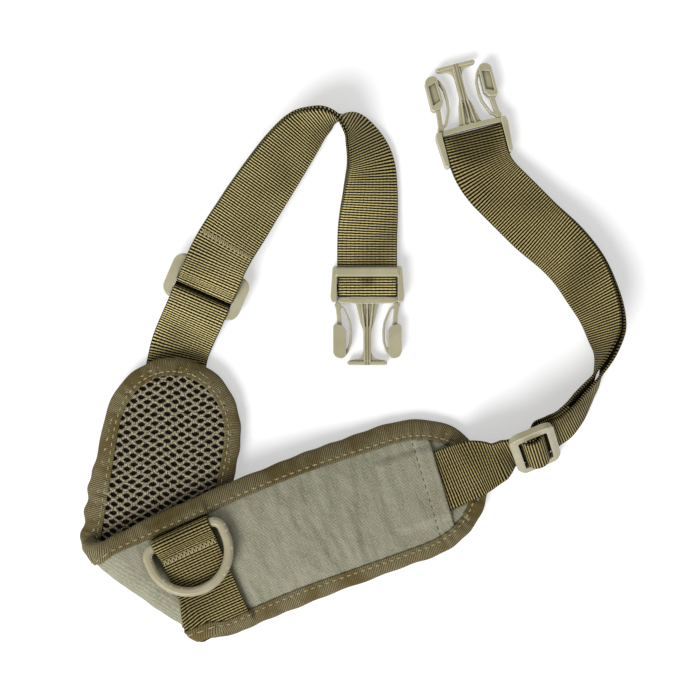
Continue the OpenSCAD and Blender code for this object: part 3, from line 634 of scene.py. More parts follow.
def inset(s, t):
    """Distance in from the pad's edge, taken square to it."""
    slope = nose_width(s + 0.5) - nose_width(s - 0.5)
    side = (nose_width(s) - np.abs(t)) / np.sqrt(1 + slope * slope)
    return np.minimum(side, HALF_LENGTH - np.abs(s))


def quarter_sine(d):
    """0 where d, the distance in from the edge, is under the tape, and 1 well inside."""
    return np.sin(np.pi / 2 * np.clip((d - PINCHED) / SWELL, 0, 1))


def swell(s, t):
    """How far the pad has swelled at a place, from 0 to 1, along a quarter of a sine."""
    return quarter_sine(inset(s, t))


def lining_height(s, t):
    """How far the mesh face lies from the middle surface. The free wing is a little fuller."""
    fuller = 0.45 * smooth((-s - 45) / 20)
    return LINING_HEIGHT + (LINING_SWELL + fuller) * swell(s, t)


def base_height(s, t):
    """How far the base fabric's face lies from the middle surface."""
    return BASE_HEIGHT + BASE_SWELL * swell(s, t)


def over_tail(s, t):
    """1 where the webbing's sewn-in end lies under the face fabric, 0 away from it."""
    return (smooth((np.abs(s) - TAIL_START + 4) / 5) * smooth((17.5 - np.abs(t)) / 4)
            * smooth((inset(s, t) - 6.8) / 2.2))


FOLDS = [  # along, across, lean, half length, half width, height: soft folds in the face
    (27, 6, 78, 16, 2.6, 0.42), (36, -9, 96, 14, 2.2, -0.34), (44, 10, 74, 12, 2.4, 0.36),
    (52, -4, 104, 19, 2.0, -0.42), (60, 9, 82, 13, 2.8, 0.38), (66, -11, 98, 11, 2.2, 0.34),
    (73, 3, 76, 17, 1.9, -0.36), (80, -9, 94, 10, 2.5, 0.30), (33, 16, 60, 8, 1.8, 0.26),
    (56, 17, 52, 8, 1.7, -0.28), (47, -18, 122, 8, 1.8, 0.26), (69, 16, 118, 8, 1.8, 0.24),
    (-20, 4, 66, 15, 3.0, 0.40), (-30, -8, 58, 16, 2.6, -0.34), (-42, 6, 70, 15, 2.6, 0.34),
    (-55, -5, 84, 16, 2.4, -0.36), (-68, 5, 76, 14, 2.8, 0.34), (-79, -9, 98, 12, 2.2, 0.28),
    (20, -14, 118, 9, 1.8, -0.28), (20, 12, 70, 9, 1.6, 0.26), (-17, -15, 46, 10, 2.0, -0.24),
]


def fabric_folds(s, t):
    """Each fold is a bell curve along its crest times a wider one across it, and their sum
    fades out at the tape, under the strip and over the webbing's ends."""
    total = np.zeros(np.broadcast(s, t).shape)
    for along, across, lean, reach, width, height in FOLDS:
        d = heading(lean)
        x, y = s - along, t - across
        crest, aside = x * d[0] + y * d[1], x * d[1] - y * d[0]
        total += height * bell(crest / reach) * bell(aside / width)
    ripple = 0.05 * np.sin(1.3 * s + 0.5 * t) * np.sin(0.34 * s - 0.9 * t + 1)
    bands = np.sin(1.15 * s + 1.3 * np.sin(0.19 * t + 0.4) + 0.9 * np.sin(0.27 * s + 0.31 * t))
    ripple = ripple + 0.15 * bands * (0.5 + 0.5 * np.sin(0.13 * s + 0.1 * t + 1))
    quiet = smooth((inset(s, t) - 6.5) / 4) * smooth((np.abs(s) - 13) / 4)
    return (total + ripple) * quiet * (1 - 0.8 * over_tail(s, t))


def face_height(s, t):
    """How far the face fabric's lower side lies from the middle surface."""
    rest = base_height(s, t) + 0.2 + fabric_folds(s, t) + 0.12
    return rest + 1.55 * over_tail(s, t)


def slant(s):
    """The rows lean with the crease near it and stand square to the pad elsewhere."""
    past = s < -FOLD_END
    return CREASE_SLANT * (1 - smooth(np.where(past, (-s - FOLD_END) / 45,
                                               (s + FOLD_START) / 50)))


BACK_COLUMNS = 13       # a layer's back is smooth, so it needs few columns


def layer(name, edge, ends, row_step, columns, face, back):
    """A closed layer of the pad. Its stations run from -ends to ends, and each goes across
    the face in even shares of the half width and returns along the back. Both sides are
    heights of s and t."""
    shares = np.linspace(-1, 1, columns)
    rows = np.linspace(-ends, ends, int(2 * ends / row_step) + 1)[:, None]
    wide = np.maximum(nose_width(rows, HALF_LENGTH - edge, HALF_WIDTH - edge), 0.3)
    t = np.concatenate([shares, np.linspace(1, -1, BACK_COLUMNS), shares[:1]]) * wide
    s = rows + slant(rows) * t
    on_face = np.repeat([True, False, True], [columns, BACK_COLUMNS, 1])
    w = np.where(on_face, face(s, t), back(s, t))
    return skin(name, pad_point(s, t, w), pairs(s, t))


def mesh_face(s, t):
    """The mesh's face, carved down in each hole, with a soft shoulder."""
    return -lining_height(s, t) + HOLE_DEPTH * smooth((1.25 - hole_distance(s, t)) / 0.55)


def lining_back(s, t):
    """The side of the mesh that lies on the foam."""
    return -lining_height(s, t) + LINING_THICKNESS


def hem_rise(s, t):
    """The turned hem is thicker, and its stitch line pulls it down. Both fade at the tape."""
    turned = smooth((np.abs(s) - HEM + 8) / 1.2)
    pulled = bell((np.abs(s) - HEM + HEM_STITCH_IN) / 0.7)
    rolled = smooth((np.abs(s) - HEM + 0.8) / 0.8)
    clear = smooth((inset(s, t) - TAPE_WIDTH - 0.4) / 2)
    return (0.45 * turned - 0.3 * pulled - 0.35 * rolled) * clear


def face_top(s, t):
    """The side of the face fabric that shows."""
    return face_height(s, t) + FACE_THICKNESS + hem_rise(s, t)


print("full height of the pad's face:", face_height(np.array([60.0]), np.array([0.0])).round(2))

# %% Lining, foam and base fabric
SHEET_EDGE, SHEET_END = 3.0, 125.5      # mm in from the pad's edge, and along to its end
FOAM_EDGE, FOAM_END = 4.0, 124.0
FACE_EDGE = 4.4

lining = layer("mesh_lining_dressed", SHEET_EDGE, SHEET_END, row_step=0.4, columns=137,
               face=mesh_face, back=lining_back)
dress(lining, mesh_look, "spacer_mesh", "harness", "mesh_lining")

foam = layer("foam_inside", FOAM_EDGE, FOAM_END, row_step=2.0, columns=25,
             face=lambda s, t: lining_back(s, t) + LAYER_GAP,
             back=lambda s, t: base_height(s, t) - FACE_THICKNESS)
dress(foam, foam_look, "foam", "harness", "foam_core")

base = layer("base_fabric", SHEET_EDGE, SHEET_END, row_step=1.0, columns=49,
             face=base_height,
             back=lambda s, t: base_height(s, t) - FACE_THICKNESS + LAYER_GAP)
dress(base, fabric_look, "face_fabric", "harness", "base_panel")

# %% Face fabric
face = layer("face_fabric_dressed", FACE_EDGE, HEM, row_step=0.55, columns=97,
             face=face_top, back=face_height)
dress(face, fabric_look, "face_fabric", "harness", "outer_panel")

# %% [markdown]
# ## Binding tape
# The tape is folded round the pad's edge and sewn through near its inner edges. It is one
# closed ring: the outline is measured off in even steps, and at each step a section of the
# tape stands square to it. Stitches pull the tape down, and it puckers round the noses.

# %% Outline
STITCH_PITCH = 3.3      # mm
STITCH_IN = 1.8         # mm from the tape's inner edge to the stitches
OUTLINE_STEP = 0.5


def running_length(points):
    """The length of a line from its first point up to each of its points."""
    steps = np.linalg.norm(np.diff(points, axis=0), axis=1)
    return np.concatenate([[0], np.cumsum(steps)])


def read_off(at, run, table, **how):
    """Every column of a table, read between its rows at the given running lengths."""
    return np.stack([np.interp(at, run, column, **how) for column in table.T], axis=-1)


def unit(vectors):
    """Each vector, divided by its length."""
    return vectors / np.linalg.norm(vectors, axis=-1, keepdims=True)


def outline(step):
    """Points every step mm round the pad's edge, as (s, t), with the unit vector inward. The
    edge is first drawn finely, then its running length is divided evenly."""
    flank = HALF_LENGTH - NOSE
    fine_s = np.concatenate([np.linspace(0, flank, 600)[:-1],
                             flank + NOSE * np.sin(np.linspace(0, np.pi / 2, 1800))])
    top_s = np.concatenate([-fine_s[::-1], fine_s[1:]])
    top = pairs(top_s, nose_width(top_s))
    ring = np.concatenate([top, (top * [1, -1])[::-1][1:]])
    run = running_length(ring)
    at = np.linspace(0, run[-1], int(round(run[-1] / step)) + 1)[:-1]
    edge = read_off(at, run, ring)
    ahead = unit(np.roll(edge, -1, axis=0) - np.roll(edge, 1, axis=0))
    return at, edge, pairs(ahead[:, 1], -ahead[:, 0]), run[-1]


edge_run, edge_place, edge_inward, edge_length = outline(OUTLINE_STEP)
print("edge of the pad:", round(float(edge_length), 1), "mm in", len(edge_run), "steps")

# %% Tape section
SEAM_RUN, SEAM_LENGTH = 0.6, 9.0    # mm round the edge where the tape's ends overlap


def tape_width(run, edge):
    """The tape's width on one face wanders a little. It is wider along the upper edge, and
    widest where it laps over the strip's end beside the crease."""
    wander = 0.35 * np.sin(run / 31) + 0.25 * np.sin(run / 13 + 2)
    s, t = edge[..., 0], edge[..., 1]
    upper = smooth((s + 40) / 30) * smooth((t - 15) / 8)
    corner = smooth((4 - s) / 18) * smooth((s + 34) / 12) * (t < 0)
    return TAPE_WIDTH + wander + 0.8 * upper + 5.7 * corner


def at_crease(edge):
    """1 along the free wing's outer edge beside the crease, where the tape is bunched."""
    s, t = edge[..., 0], edge[..., 1]
    return smooth((-s - 30) / 8) * smooth((s + 84) / 16) * (t > 0)


def outer_wave(run, edge):
    """How far the tape's fold stands out past the pad's edge, in mm."""
    s, t = edge[..., 0], edge[..., 1]
    wave = np.sin(run / 2.1 + 2 * np.sin(run / 17)) + 0.7 * np.sin(run / 5.3 + 1)
    drawn_in = 1.6 * smooth((5 - s) / 10) * smooth((s + 26) / 9) * (t < 0)
    return 0.16 * wave + at_crease(edge) * (1.5 + 0.5 * np.sin(run / 1.5)) - drawn_in


def tape_height(run, edge, d, outer):
    """Height of the tape's surface at d in from the edge: a rounded rise to the cloth's
    height, pulled down along the stitches, with puckers that grow with the edge's bend."""
    s, t = edge[..., 0], edge[..., 1]
    width = tape_width(run, edge)
    nose = smooth((np.abs(s) - 92) / 12)
    if outer:
        past_hem = smooth((np.abs(s) - HEM - 3) / 4)
        under = 3.55 - 1.25 * past_hem
        strip = np.where(t < 0, 2.75, 1.35) * smooth((14.2 - np.abs(s)) / 2)
        under = under + strip * smooth((d - 1.2) / 3.5)
    else:
        under = LINING_HEIGHT
    rise = np.clip(d / 5.2, 0, 1) ** 0.42
    swelling = BASE_SWELL if outer else LINING_SWELL
    top = rise * (under + 0.5) + swelling * quarter_sine(d)
    stitch = bell((d - (width - STITCH_IN)) / 0.65)
    dent = 0.2 + 0.12 * np.cos(2 * np.pi * run / STITCH_PITCH)
    wave = np.cos(2 * np.pi * run / 5.3 + 1.7 * np.sin(run / 19)) + 0.6 * np.sin(run / 0.61 + 1)
    loose = 0.09 + 0.15 * nose + 0.22 * at_crease(edge)
    pucker = loose * wave * smooth(d / 2.5) * (0.5 + 0.5 * smooth(d / width))
    seam = run - SEAM_RUN - 0.55 * d
    overlap = 0.65 * smooth(seam / 0.6) * smooth((SEAM_LENGTH - seam) / 2)
    return top - dent * stitch + pucker + overlap * smooth(d / 1.5)


def tape_grid(run, edge, inward):
    """The section at each step: in over the outer face to the edge, out over the inner
    face, and back half a millimetre underneath."""
    width = tape_width(run, edge)[:, None]
    shares = np.array([1, 0.985, 0.93, 0.86, 0.8, 0.75, 0.7, 0.62, 0.52, 0.42, 0.32, 0.22,
                       0.13, 0.06, 0.02])
    under_shares = np.array([1, 0.6, 0.25, 0.12])
    sides = [(shares, 1, 0), (np.array([0.0]), 1, 0), (shares[::-1], -1, 0),
             (under_shares, -1, 0.55), (under_shares[::-1], 1, 0.55)]
    ds, ws, vs = [], [], []
    for share, sign, under in sides:
        d = share[None, :] * width
        h = tape_height(run[:, None], edge[:, None, :], d, sign > 0)
        drop = np.where(share > 0.99, 0.3, 0.0)[None, :] if under == 0 else under
        ds.append(d + 0 * h)
        ws.append(sign * np.maximum(h - drop, 0))
        vs.append(sign * d + 0 * h)
    d, w, v = (np.concatenate([*a, a[0][:, :1]], axis=1) for a in (ds, ws, vs))
    out = outer_wave(run, edge)[:, None] * (1 - smooth(d / width))
    place = edge[:, None, :] + (d - out)[..., None] * inward[:, None, :]
    grid = pad_point(place[..., 0], place[..., 1], w)
    return grid, pairs(run[:, None], v)


grid, uv = tape_grid(edge_run, edge_place, edge_inward)
grid = np.concatenate([grid, grid[:1]])
uv = np.concatenate([uv, uv[:1] + [edge_length, 0]])
tape = skin("binding_tape", grid, uv, ring=True)
dress(tape, binding_look, "binding", "harness", "edge_binding")

# %% [markdown]
# ## Stitches
# A stitch is a short tube that comes out of the cloth, lies on it and goes in again. There
# are hundreds, so each one has only a few dozen faces, and all of a seam are one mesh.

# %% Tube helper
def tubes(name, place, x, y, lift, radius, around=6):
    """Many short closed tubes at once. place(x, y, lift) turns rows of stations, a row for
    each tube, into places in mm, and lift is their height over the cloth. A point on a tube
    is its station, plus the radius times the cosine of its angle along the side direction
    and the sine along up. The radius shrinks at both ends."""
    paths = place(x, y, lift)
    count, stations = paths.shape[:2]
    ahead = np.gradient(paths, axis=1)
    side = unit(np.cross(ahead, place(x, y, lift + 1) - paths))
    top = unit(np.cross(side, ahead))
    taper = np.sqrt(np.clip(1 - np.linspace(-0.97, 0.97, stations) ** 4, 0, 1))
    angle = np.arange(around) / around * 2 * np.pi
    r = (radius * taper)[:, None, None]
    points = paths[:, :, None] + r * (np.cos(angle)[:, None] * side[:, :, None]
                                      + np.sin(angle)[:, None] * top[:, :, None])
    index = np.arange(count * stations * around).reshape(count, stations, around)
    turned = np.roll(index, -1, axis=2)
    walls = np.stack([index[:, :-1], index[:, 1:], turned[:, 1:], turned[:, :-1]], -1)
    starts, ends = index[:, 0], index[:, -1, ::-1]
    faces = walls.reshape(-1, 4).tolist() + starts.tolist() + ends.tolist()
    mesh = bpy.data.meshes.new(name)
    mesh.from_pydata(in_metres(points.reshape(-1, 3)), [], faces)
    mesh.shade_smooth()
    print(name, count, "stitches,", len(mesh.polygons), "faces")
    return add_object(name, mesh)


def stitch_lift(sink, crown):
    """Height of a stitch's middle line over the cloth: from -sink near both ends up to crown,
    as a half sine to the power of 0.35."""
    half = np.sin(np.linspace(0.04, np.pi - 0.04, STATIONS))
    return -sink + (crown + sink) * half ** 0.35


# %% Stitches through the tape
STITCH_LENGTH = 2.1
STATIONS = 7            # along each stitch
ALONG = np.linspace(-0.5, 0.5, STATIONS)


def tape_stitches(name, outer):
    """One stitch in every pitch, on the line that the tape's dents follow."""
    count = int(edge_length / STITCH_PITCH)
    middle = (np.arange(count) + 0.5) * STITCH_PITCH
    middle = middle[middle < edge_length - STITCH_LENGTH]
    run = middle[:, None] + ALONG * STITCH_LENGTH
    edge, inward = (read_off(run, edge_run, table, period=edge_length)
                    for table in (edge_place, edge_inward))
    d = tape_width(run, edge) - STITCH_IN
    place = edge + d[..., None] * inward
    sign = 1 if outer else -1
    return tubes(name, lambda s, t, h: pad_point(s, t, sign * h), place[..., 0], place[..., 1],
                 tape_height(run, edge, d, outer) + stitch_lift(sink=0.3, crown=0.16),
                 radius=0.27)


for title, outer in (("tape_stitches_outer", True), ("tape_stitches_inner", False)):
    dress(tape_stitches(title, outer), thread_look, "thread", "harness")

# %% [markdown]
# ## Webbing as a carried section
# A strap is its section carried along a path. The section is a flat rounded bar whose two
# faces swell a little at every rib, and whose edges are scalloped by the same ribs.

# %% Webbing section
RIB_SWELL = 0.045       # mm that a rib stands proud of each face
EDGE_SCALLOP = 0.10     # mm that it stands out at each edge
RIB_STEP = 0.3          # mm between stations, nearly four to a rib
FINE_STEP = 0.1         # mm between the points that are softened


def webbing_section():
    """Columns of the section as (across, lift) shares of the half width and thickness, with
    a quarter circle at each edge."""
    faces = np.linspace(-0.955, 0.955, 12)
    turn = np.radians([68, 35, 0, -35, -68])
    across = np.concatenate([faces, 0.962 + 0.038 * np.cos(turn), faces[::-1],
                             -0.962 - 0.038 * np.cos(turn)])
    lift = np.concatenate([1 + 0 * faces, np.sin(turn), -1 + 0 * faces, -np.sin(turn)])
    return np.append(across, across[0]), np.append(lift, lift[0])


def even_path(points, step, window=1.2):
    """A line through the given points, measured off every step mm and softened: each point
    becomes the mean of a window of the line, twice over, while the ends stay put."""
    points = np.asarray(points, float)
    run = running_length(points)
    line = read_off(np.linspace(0, run[-1], int(run[-1] / FINE_STEP) + 1), run, points)
    half = int(window / (2 * FINE_STEP))
    for _ in range(2):
        padded = np.concatenate([2 * line[0] - line[half:0:-1], line,
                                 2 * line[-1] - line[-2:-half - 2:-1]])
        total = np.cumsum(np.concatenate([[0 * line[0]], padded]), axis=0)
        line = (total[2 * half + 1:] - total[:-2 * half - 1]) / (2 * half + 1)
    run = running_length(line)
    at = np.linspace(0, run[-1], max(int(run[-1] / step), 2) + 1)
    return at, read_off(at, run, line)


def ribbed_section(run, width=WEBBING_WIDTH):
    """The section's columns at each station, as x across the webbing and y out of it, with
    the cloth's own coordinates. A cosine of the running length makes the ribs."""
    share, lift = webbing_section()
    rib = np.cos(2 * np.pi * run / RIB_PITCH)[:, None]
    flat = np.clip((0.97 - np.abs(share)) * 12, 0, 1)
    x = share * (width / 2 - 0.05) + np.sign(share) * EDGE_SCALLOP * rib * (1 - flat)
    y = lift * (WEBBING_THICKNESS / 2 - RIB_SWELL + RIB_SWELL * rib * flat)
    return x, y, pairs(run[:, None], x)


print("columns round the webbing:", len(webbing_section()[0]) - 1)

# %% [markdown]
# ## Doubled strip and D-ring
# A strip of webbing crosses the pad from tape to tape. Its upper layer goes round the bar of
# the D-ring and comes back over itself, and a dense zigzag of thread closes the loop.

# %% Strip across the pad
STRIP_LOW, PITCH = 5.55, 1.4        # mm up to the strip's lower layer, and from it to the next
RING_OFFSET, RING_TURN = 18.0, 2.8  # mm across the pad to the ring's bar, and round the bar
RING_BAR_W = STRIP_LOW + RING_TURN
STRIP_LOWER_LAYER = [(-25, 4.1), (-22.7, 4.5), (-20, 5.0), (-17, 5.4), (-12, STRIP_LOW),
                     (0, STRIP_LOW), (12, STRIP_LOW)]
STRIP_LOOP_CLOSES = [(15.5, RING_BAR_W + RING_TURN - 0.9), (13.8, STRIP_LOW + PITCH + 1.3),
                     (11.8, STRIP_LOW + PITCH + 0.1)]
STRIP_TO_UPPER_TAPE = [(18.6, 5.35), (20.8, 4.95), (22.7, 4.5), (25, 3.95)]


def arc(x, y, radius, degrees):
    """Points on a circle about (x, y), at angles counted from straight down, turning up."""
    a = np.radians(degrees)
    return pairs(x + radius * np.sin(a), y - radius * np.cos(a))


def strip_skin(name, path):
    """A webbing strip across the pad, given as (t, w). A column's place is x along the pad
    and its own t and w, and it is rolled over the crease with the pad."""
    run, line = even_path(path, RIB_STEP)
    print(name, "takes", round(run[-1]), "mm of webbing")
    ahead = unit(np.gradient(line, axis=0))
    x, y, uv = ribbed_section(run)
    t = line[:, :1] - y * ahead[:, 1:]
    w = line[:, 1:] + y * ahead[:, :1]
    return skin(name, pad_point(x, t, w), uv)


upper_layer = [(t, w + PITCH) for t, w in STRIP_LOWER_LAYER[::-1]][1:]
strip_path = np.concatenate([STRIP_LOWER_LAYER, arc(RING_OFFSET, RING_BAR_W, RING_TURN,
                                                    np.arange(0, 181, 15)),
                             STRIP_LOOP_CLOSES, upper_layer])
strip = join("cross_strip", [strip_skin("strip_loop", strip_path),
                             strip_skin("strip_upper_end", STRIP_TO_UPPER_TAPE)])
dress(strip, shaded_webbing_look, "webbing", "harness", "cross_webbing")

# %% Zigzag bar tacks
TACK_PITCH = 0.85       # mm between legs of a zigzag
TACK_REACH = 2.6        # mm that the zigzag covers


def zigzag(name, place, half_width, radius):
    """Legs of thread side by side, leaning to alternate sides. place(x, y, lift) turns the
    leg's own coordinates, along the row and across it, into a place in space."""
    count = int(2 * half_width / TACK_PITCH)
    x = np.linspace(-half_width, half_width, count)[:, None]
    lean = np.where(np.arange(count) % 2 == 0, 0.5, -0.5)[:, None] * TACK_PITCH
    x, y, lift = np.broadcast_arrays(x + lean * 2 * ALONG, TACK_REACH * ALONG,
                                     stitch_lift(sink=0.35, crown=0.22))
    return tubes(name, place, x, y, lift, radius)


TACK_T = RING_OFFSET - 7.6      # mm across the pad, where the ring's loop is sewn shut
TACK_TOP = STRIP_LOW + PITCH + WEBBING_THICKNESS / 2
tack = zigzag("ring_bartack_thread",
              lambda x, y, lift: pad_point(x, TACK_T + y, TACK_TOP + lift),
              half_width=11.3, radius=0.33)
dress(tack, thread_look, "thread", "harness", "ring_bartack")

# %% Stitches along the hems
HEM_STITCHES, HEM_REACH = 15, 21.5      # how many, and mm from the middle to the outer ones


def hem_stitches(name, end):
    """A row of stitches across the pad, sunk in the hem's stitch line."""
    t = np.linspace(-HEM_REACH, HEM_REACH, HEM_STITCHES)[:, None] + ALONG * STITCH_LENGTH
    s = end * (HEM - HEM_STITCH_IN) + 0 * t
    return tubes(name, pad_point, s, t, face_top(s, t) + stitch_lift(sink=0.25, crown=0.1),
                 radius=0.2)


for title, end in (("hem_stitches_right", 1), ("hem_stitches_left", -1)):
    dress(hem_stitches(title, end), dark_thread_look, "thread", "harness")

# %% [markdown]
# ## Routes of the two straps
# Each strap is led by a smooth curve through listed stations. A station has a place,
# the direction across the webbing, and its tilt. Everything on the strap is then laid off
# from this one line: a length along it and a lift from it.

# %% Spine helper
# A tail's stations are (s, t) on the pad. The others are x, y, z in mm, the heading of the
# direction across, and its tilt, in degrees.
LEFT_TAIL = [(-87, 0), (-98, 0), (-109, 1.6), (-120, 4.4)]
RIGHT_TAIL = [(87, 0), (98, 0), (109, 0)]
LEFT_STATIONS = [
    (-75.4, -5, 1.1, -13, 0), (-74, 0.5, 1.7, -15, 0), (-71.4, 6.5, 3.6, -20, -3),
    (-68, 13.5, 5.9, -24, -6), (-65.15, 19.9, 6.75, -24, -6), (-62.3, 26.3, 7.6, -24, -6),
    (-59.45, 32.7, 8.45, -24, -6), (-56.6, 39.1, 9.3, -24, -6), (-52.2, 47, 9.9, -27, -10),
    (-45, 58, 10.2, -30, -18), (-36, 71.5, 10.5, -31, -27), (-27, 84.5, 11, -28, -38),
    (-19, 94, 12, -22, -50), (-11.5, 98.2, 13.5, -14, -64), (-6, 98.8, 14, 6, -71),
    (-1.5, 97.2, 14, 30, -68), (3, 92.8, 13, 36, -59), (6.5, 86, 12, 26, -48),
    (8.5, 77, 10, 18, -35), (8.3, 66, 8, 11, -24), (7.5, 56, 6, 5, -12), (7, 46, 4.5, 0, -2),
    (7, 26, 3.8, 0, 0), (7, 12, 3.8, 0, 0)]
RIGHT_STATIONS = [
    (46.5, -53.9, 11, -74, -4), (50.5, -52.2, 12.2, -73, -12), (54.2, -50.6, 13.3, -72, -20),
    (58.3, -49.4, 14.6, -71, -32), (63.3, -48.3, 16, -69, -47), (68.9, -46.5, 17.1, -67, -60),
    (73.5, -44.55, 17.3, -67, -60), (78.1, -42.6, 17.5, -67, -60), (81.8, -41, 17.65, -67, -60),
    (85.5, -39.5, 17.8, -67, -60), (89.4, -37.3, 17.8, -58, -61), (92.8, -34.4, 17.6, -48, -63),
    (95.6, -30.8, 17.1, -40, -66), (98, -27, 16.5, -36, -69), (101.5, -19.5, 15.4, -34, -75),
    (105, -12, 14.7, -34, -81), (108.5, -2, 14.5, 172, -84), (109, 6, 13.5, 182, -66),
    (107, 15, 12.5, 186, -54), (103, 24, 11.5, 190, -43), (97.5, 34, 10, 197, -34),
    (90, 43, 9, 205, -26), (80, 52, 8, 215, -16), (72.7, 59.3, 7.5, 217, -10),
    (66.4, 65.7, 7, 215, -6), (61.3, 71, 6.5, 211, -2), (57.3, 76.8, 6.1, 205, 0),
    (54.7, 83.2, 5.9, 199, 0), (53, 90, 5.8, 195, 0), (51.5, 95.8, 5.7, 195, 0),
    (50, 101.4, 5.6, 195, 0)]
LEFT_SLIDER, LEFT_BAR = (-62.3, 26.3, 7.6), (7, 26, 3.8)
RIGHT_SLIDER, RIGHT_BAR = (78.1, -42.6, 17.5), (53, 90, 5.8)
TAIL_MIDDLE = 4.65      # mm from the pad's middle surface to that of its sewn-in webbing


def hand_stations(rows):
    """Place and unit vector across: the heading, tilted up or down."""
    x, y, z, turn, tilt = np.array(rows, float).T
    turn, tilt = np.radians(turn), np.radians(tilt)
    return np.stack([x, y, z, np.cos(turn) * np.cos(tilt), np.sin(turn) * np.cos(tilt),
                     np.sin(tilt)], axis=-1)


def tail_stations(ends):
    """Stations in the pad's end, where the webbing lies between its fabrics."""
    s, t = np.array(ends, float).T
    w = TAIL_MIDDLE + 0.5 * (np.abs(s) > HALF_LENGTH - 14)
    across = unit(pad_point(s, t - 1, w) - pad_point(s, t + 1, w))
    return np.concatenate([pad_point(s, t, w), across], axis=1)


def spine(stations, steps=6):
    """A Catmull-Rom curve through the stations, as a table: running length, place, across."""
    v = np.concatenate([[2 * stations[0] - stations[1]], stations,
                        [2 * stations[-1] - stations[-2]]])
    a, b, c, d = (v[k:len(v) - 3 + k, None, :] for k in range(4))
    t = np.arange(steps)[None, :, None] / steps
    curve = 0.5 * (2 * b + (c - a) * t + (2 * a - 5 * b + 4 * c - d) * t ** 2
                   + (3 * b - a - 3 * c + d) * t ** 3)
    curve = np.concatenate([curve.reshape(-1, 6), stations[-1:]])
    return np.column_stack([running_length(curve[:, :3]), curve])


def look_up(table, s, window=2.5):
    """Rows of the table at the lengths s, each the mean of a few readings round it."""
    offsets = np.linspace(-0.5, 0.5, 5) * window
    return sum(read_off(s + o, table[:, 0], table[:, 1:]) for o in offsets) / len(offsets)


def frame_at(table, s):
    """Place, and unit vectors along, across and up, at the lengths s."""
    here, ahead, behind = (look_up(table, s + o) for o in (0, 0.5, -0.5))
    along = unit(ahead[:, :3] - behind[:, :3])
    up = unit(np.cross(here[:, 3:], along))
    return here[:, :3], along, np.cross(along, up), up


def length_at(table, place):
    """The length along the spine at its nearest table row to a place."""
    return float(table[np.argmin(np.linalg.norm(table[:, 1:4] - place, axis=1)), 0])


STRAPS = []
for side_name, side, tail, stations, slider, bar in (
        ("left", -1, LEFT_TAIL, LEFT_STATIONS, LEFT_SLIDER, LEFT_BAR),
        ("right", 1, RIGHT_TAIL, RIGHT_STATIONS, RIGHT_SLIDER, RIGHT_BAR)):
    table = spine(np.concatenate([tail_stations(tail), hand_stations(stations)]))
    slider_s, bar_s = length_at(table, slider), length_at(table, bar)
    STRAPS.append((side_name, side, table, slider_s, bar_s))
    print(side_name, "strap: tri-glide at", round(slider_s, 1), "bar at", round(bar_s, 1))

# %% [markdown]
# ## Two threaded straps
# From the pad the webbing goes under the tri-glide's first bar, over its centre bar and
# under the last one, on to the buckle, round the buckle's bar and back, and its end is sewn
# round the tri-glide's centre bar. The whole path is drawn once, as length and lift, and cut
# into the part that stays with the pad and the turn at the buckle's bar.

# %% Threading path
# Radii of the webbing's middle line: round the buckle's bar, sewn round the centre bar, and
# over the centre bar; all the lengths here are in mm.
TURN_RADIUS, SEWN_RADIUS, OVER_RADIUS = 2.6, 2.05, 3.45
OVER_STRETCH = 1.28         # the arch over the centre bar is wider than it is high
UNDER_BAR, UNDER_STEP = 2.5, 1.5    # how low it passes the outer bars, and the next run below
HALF_GAP = 0.75             # half the distance between two runs that lie together
FLEX_LENGTH, SEWN_END = 26.0, 23.0  # before the buckle's bar, and past the tri-glide's middle
STRAP_SPREAD = 0.9          # mm that the straps are wider than the strip
TACK_BACK = 2.4             # mm from the sewn end to the middle of its bar tack
BEND_ZONE = (-9.0, -1.0)    # mm from the bar, where the bend starts and ends


def run_gap(u, side):
    """Distance between the outgoing and the returning run at u past the tri-glide."""
    if side > 0:
        return np.interp(u, [20, 30, 40, 54, 80, 125],
                         [2 * UNDER_STEP, 3.4, 2.5, 2.7, 1.9, 2 * HALF_GAP])
    return np.interp(u, [20, 46], [2 * UNDER_STEP, 2 * HALF_GAP])


def out_lift(u, side):
    """Lift of the outgoing run."""
    knots = np.array([40, 60, 80])
    lifts = [-UNDER_BAR, *(run_gap(knots, side) / 2), HALF_GAP]
    return np.interp(u, [12, *knots, 125], lifts)


def back_lift(u, side):
    """Lift of the returning run."""
    return out_lift(u, side) - run_gap(u, side)


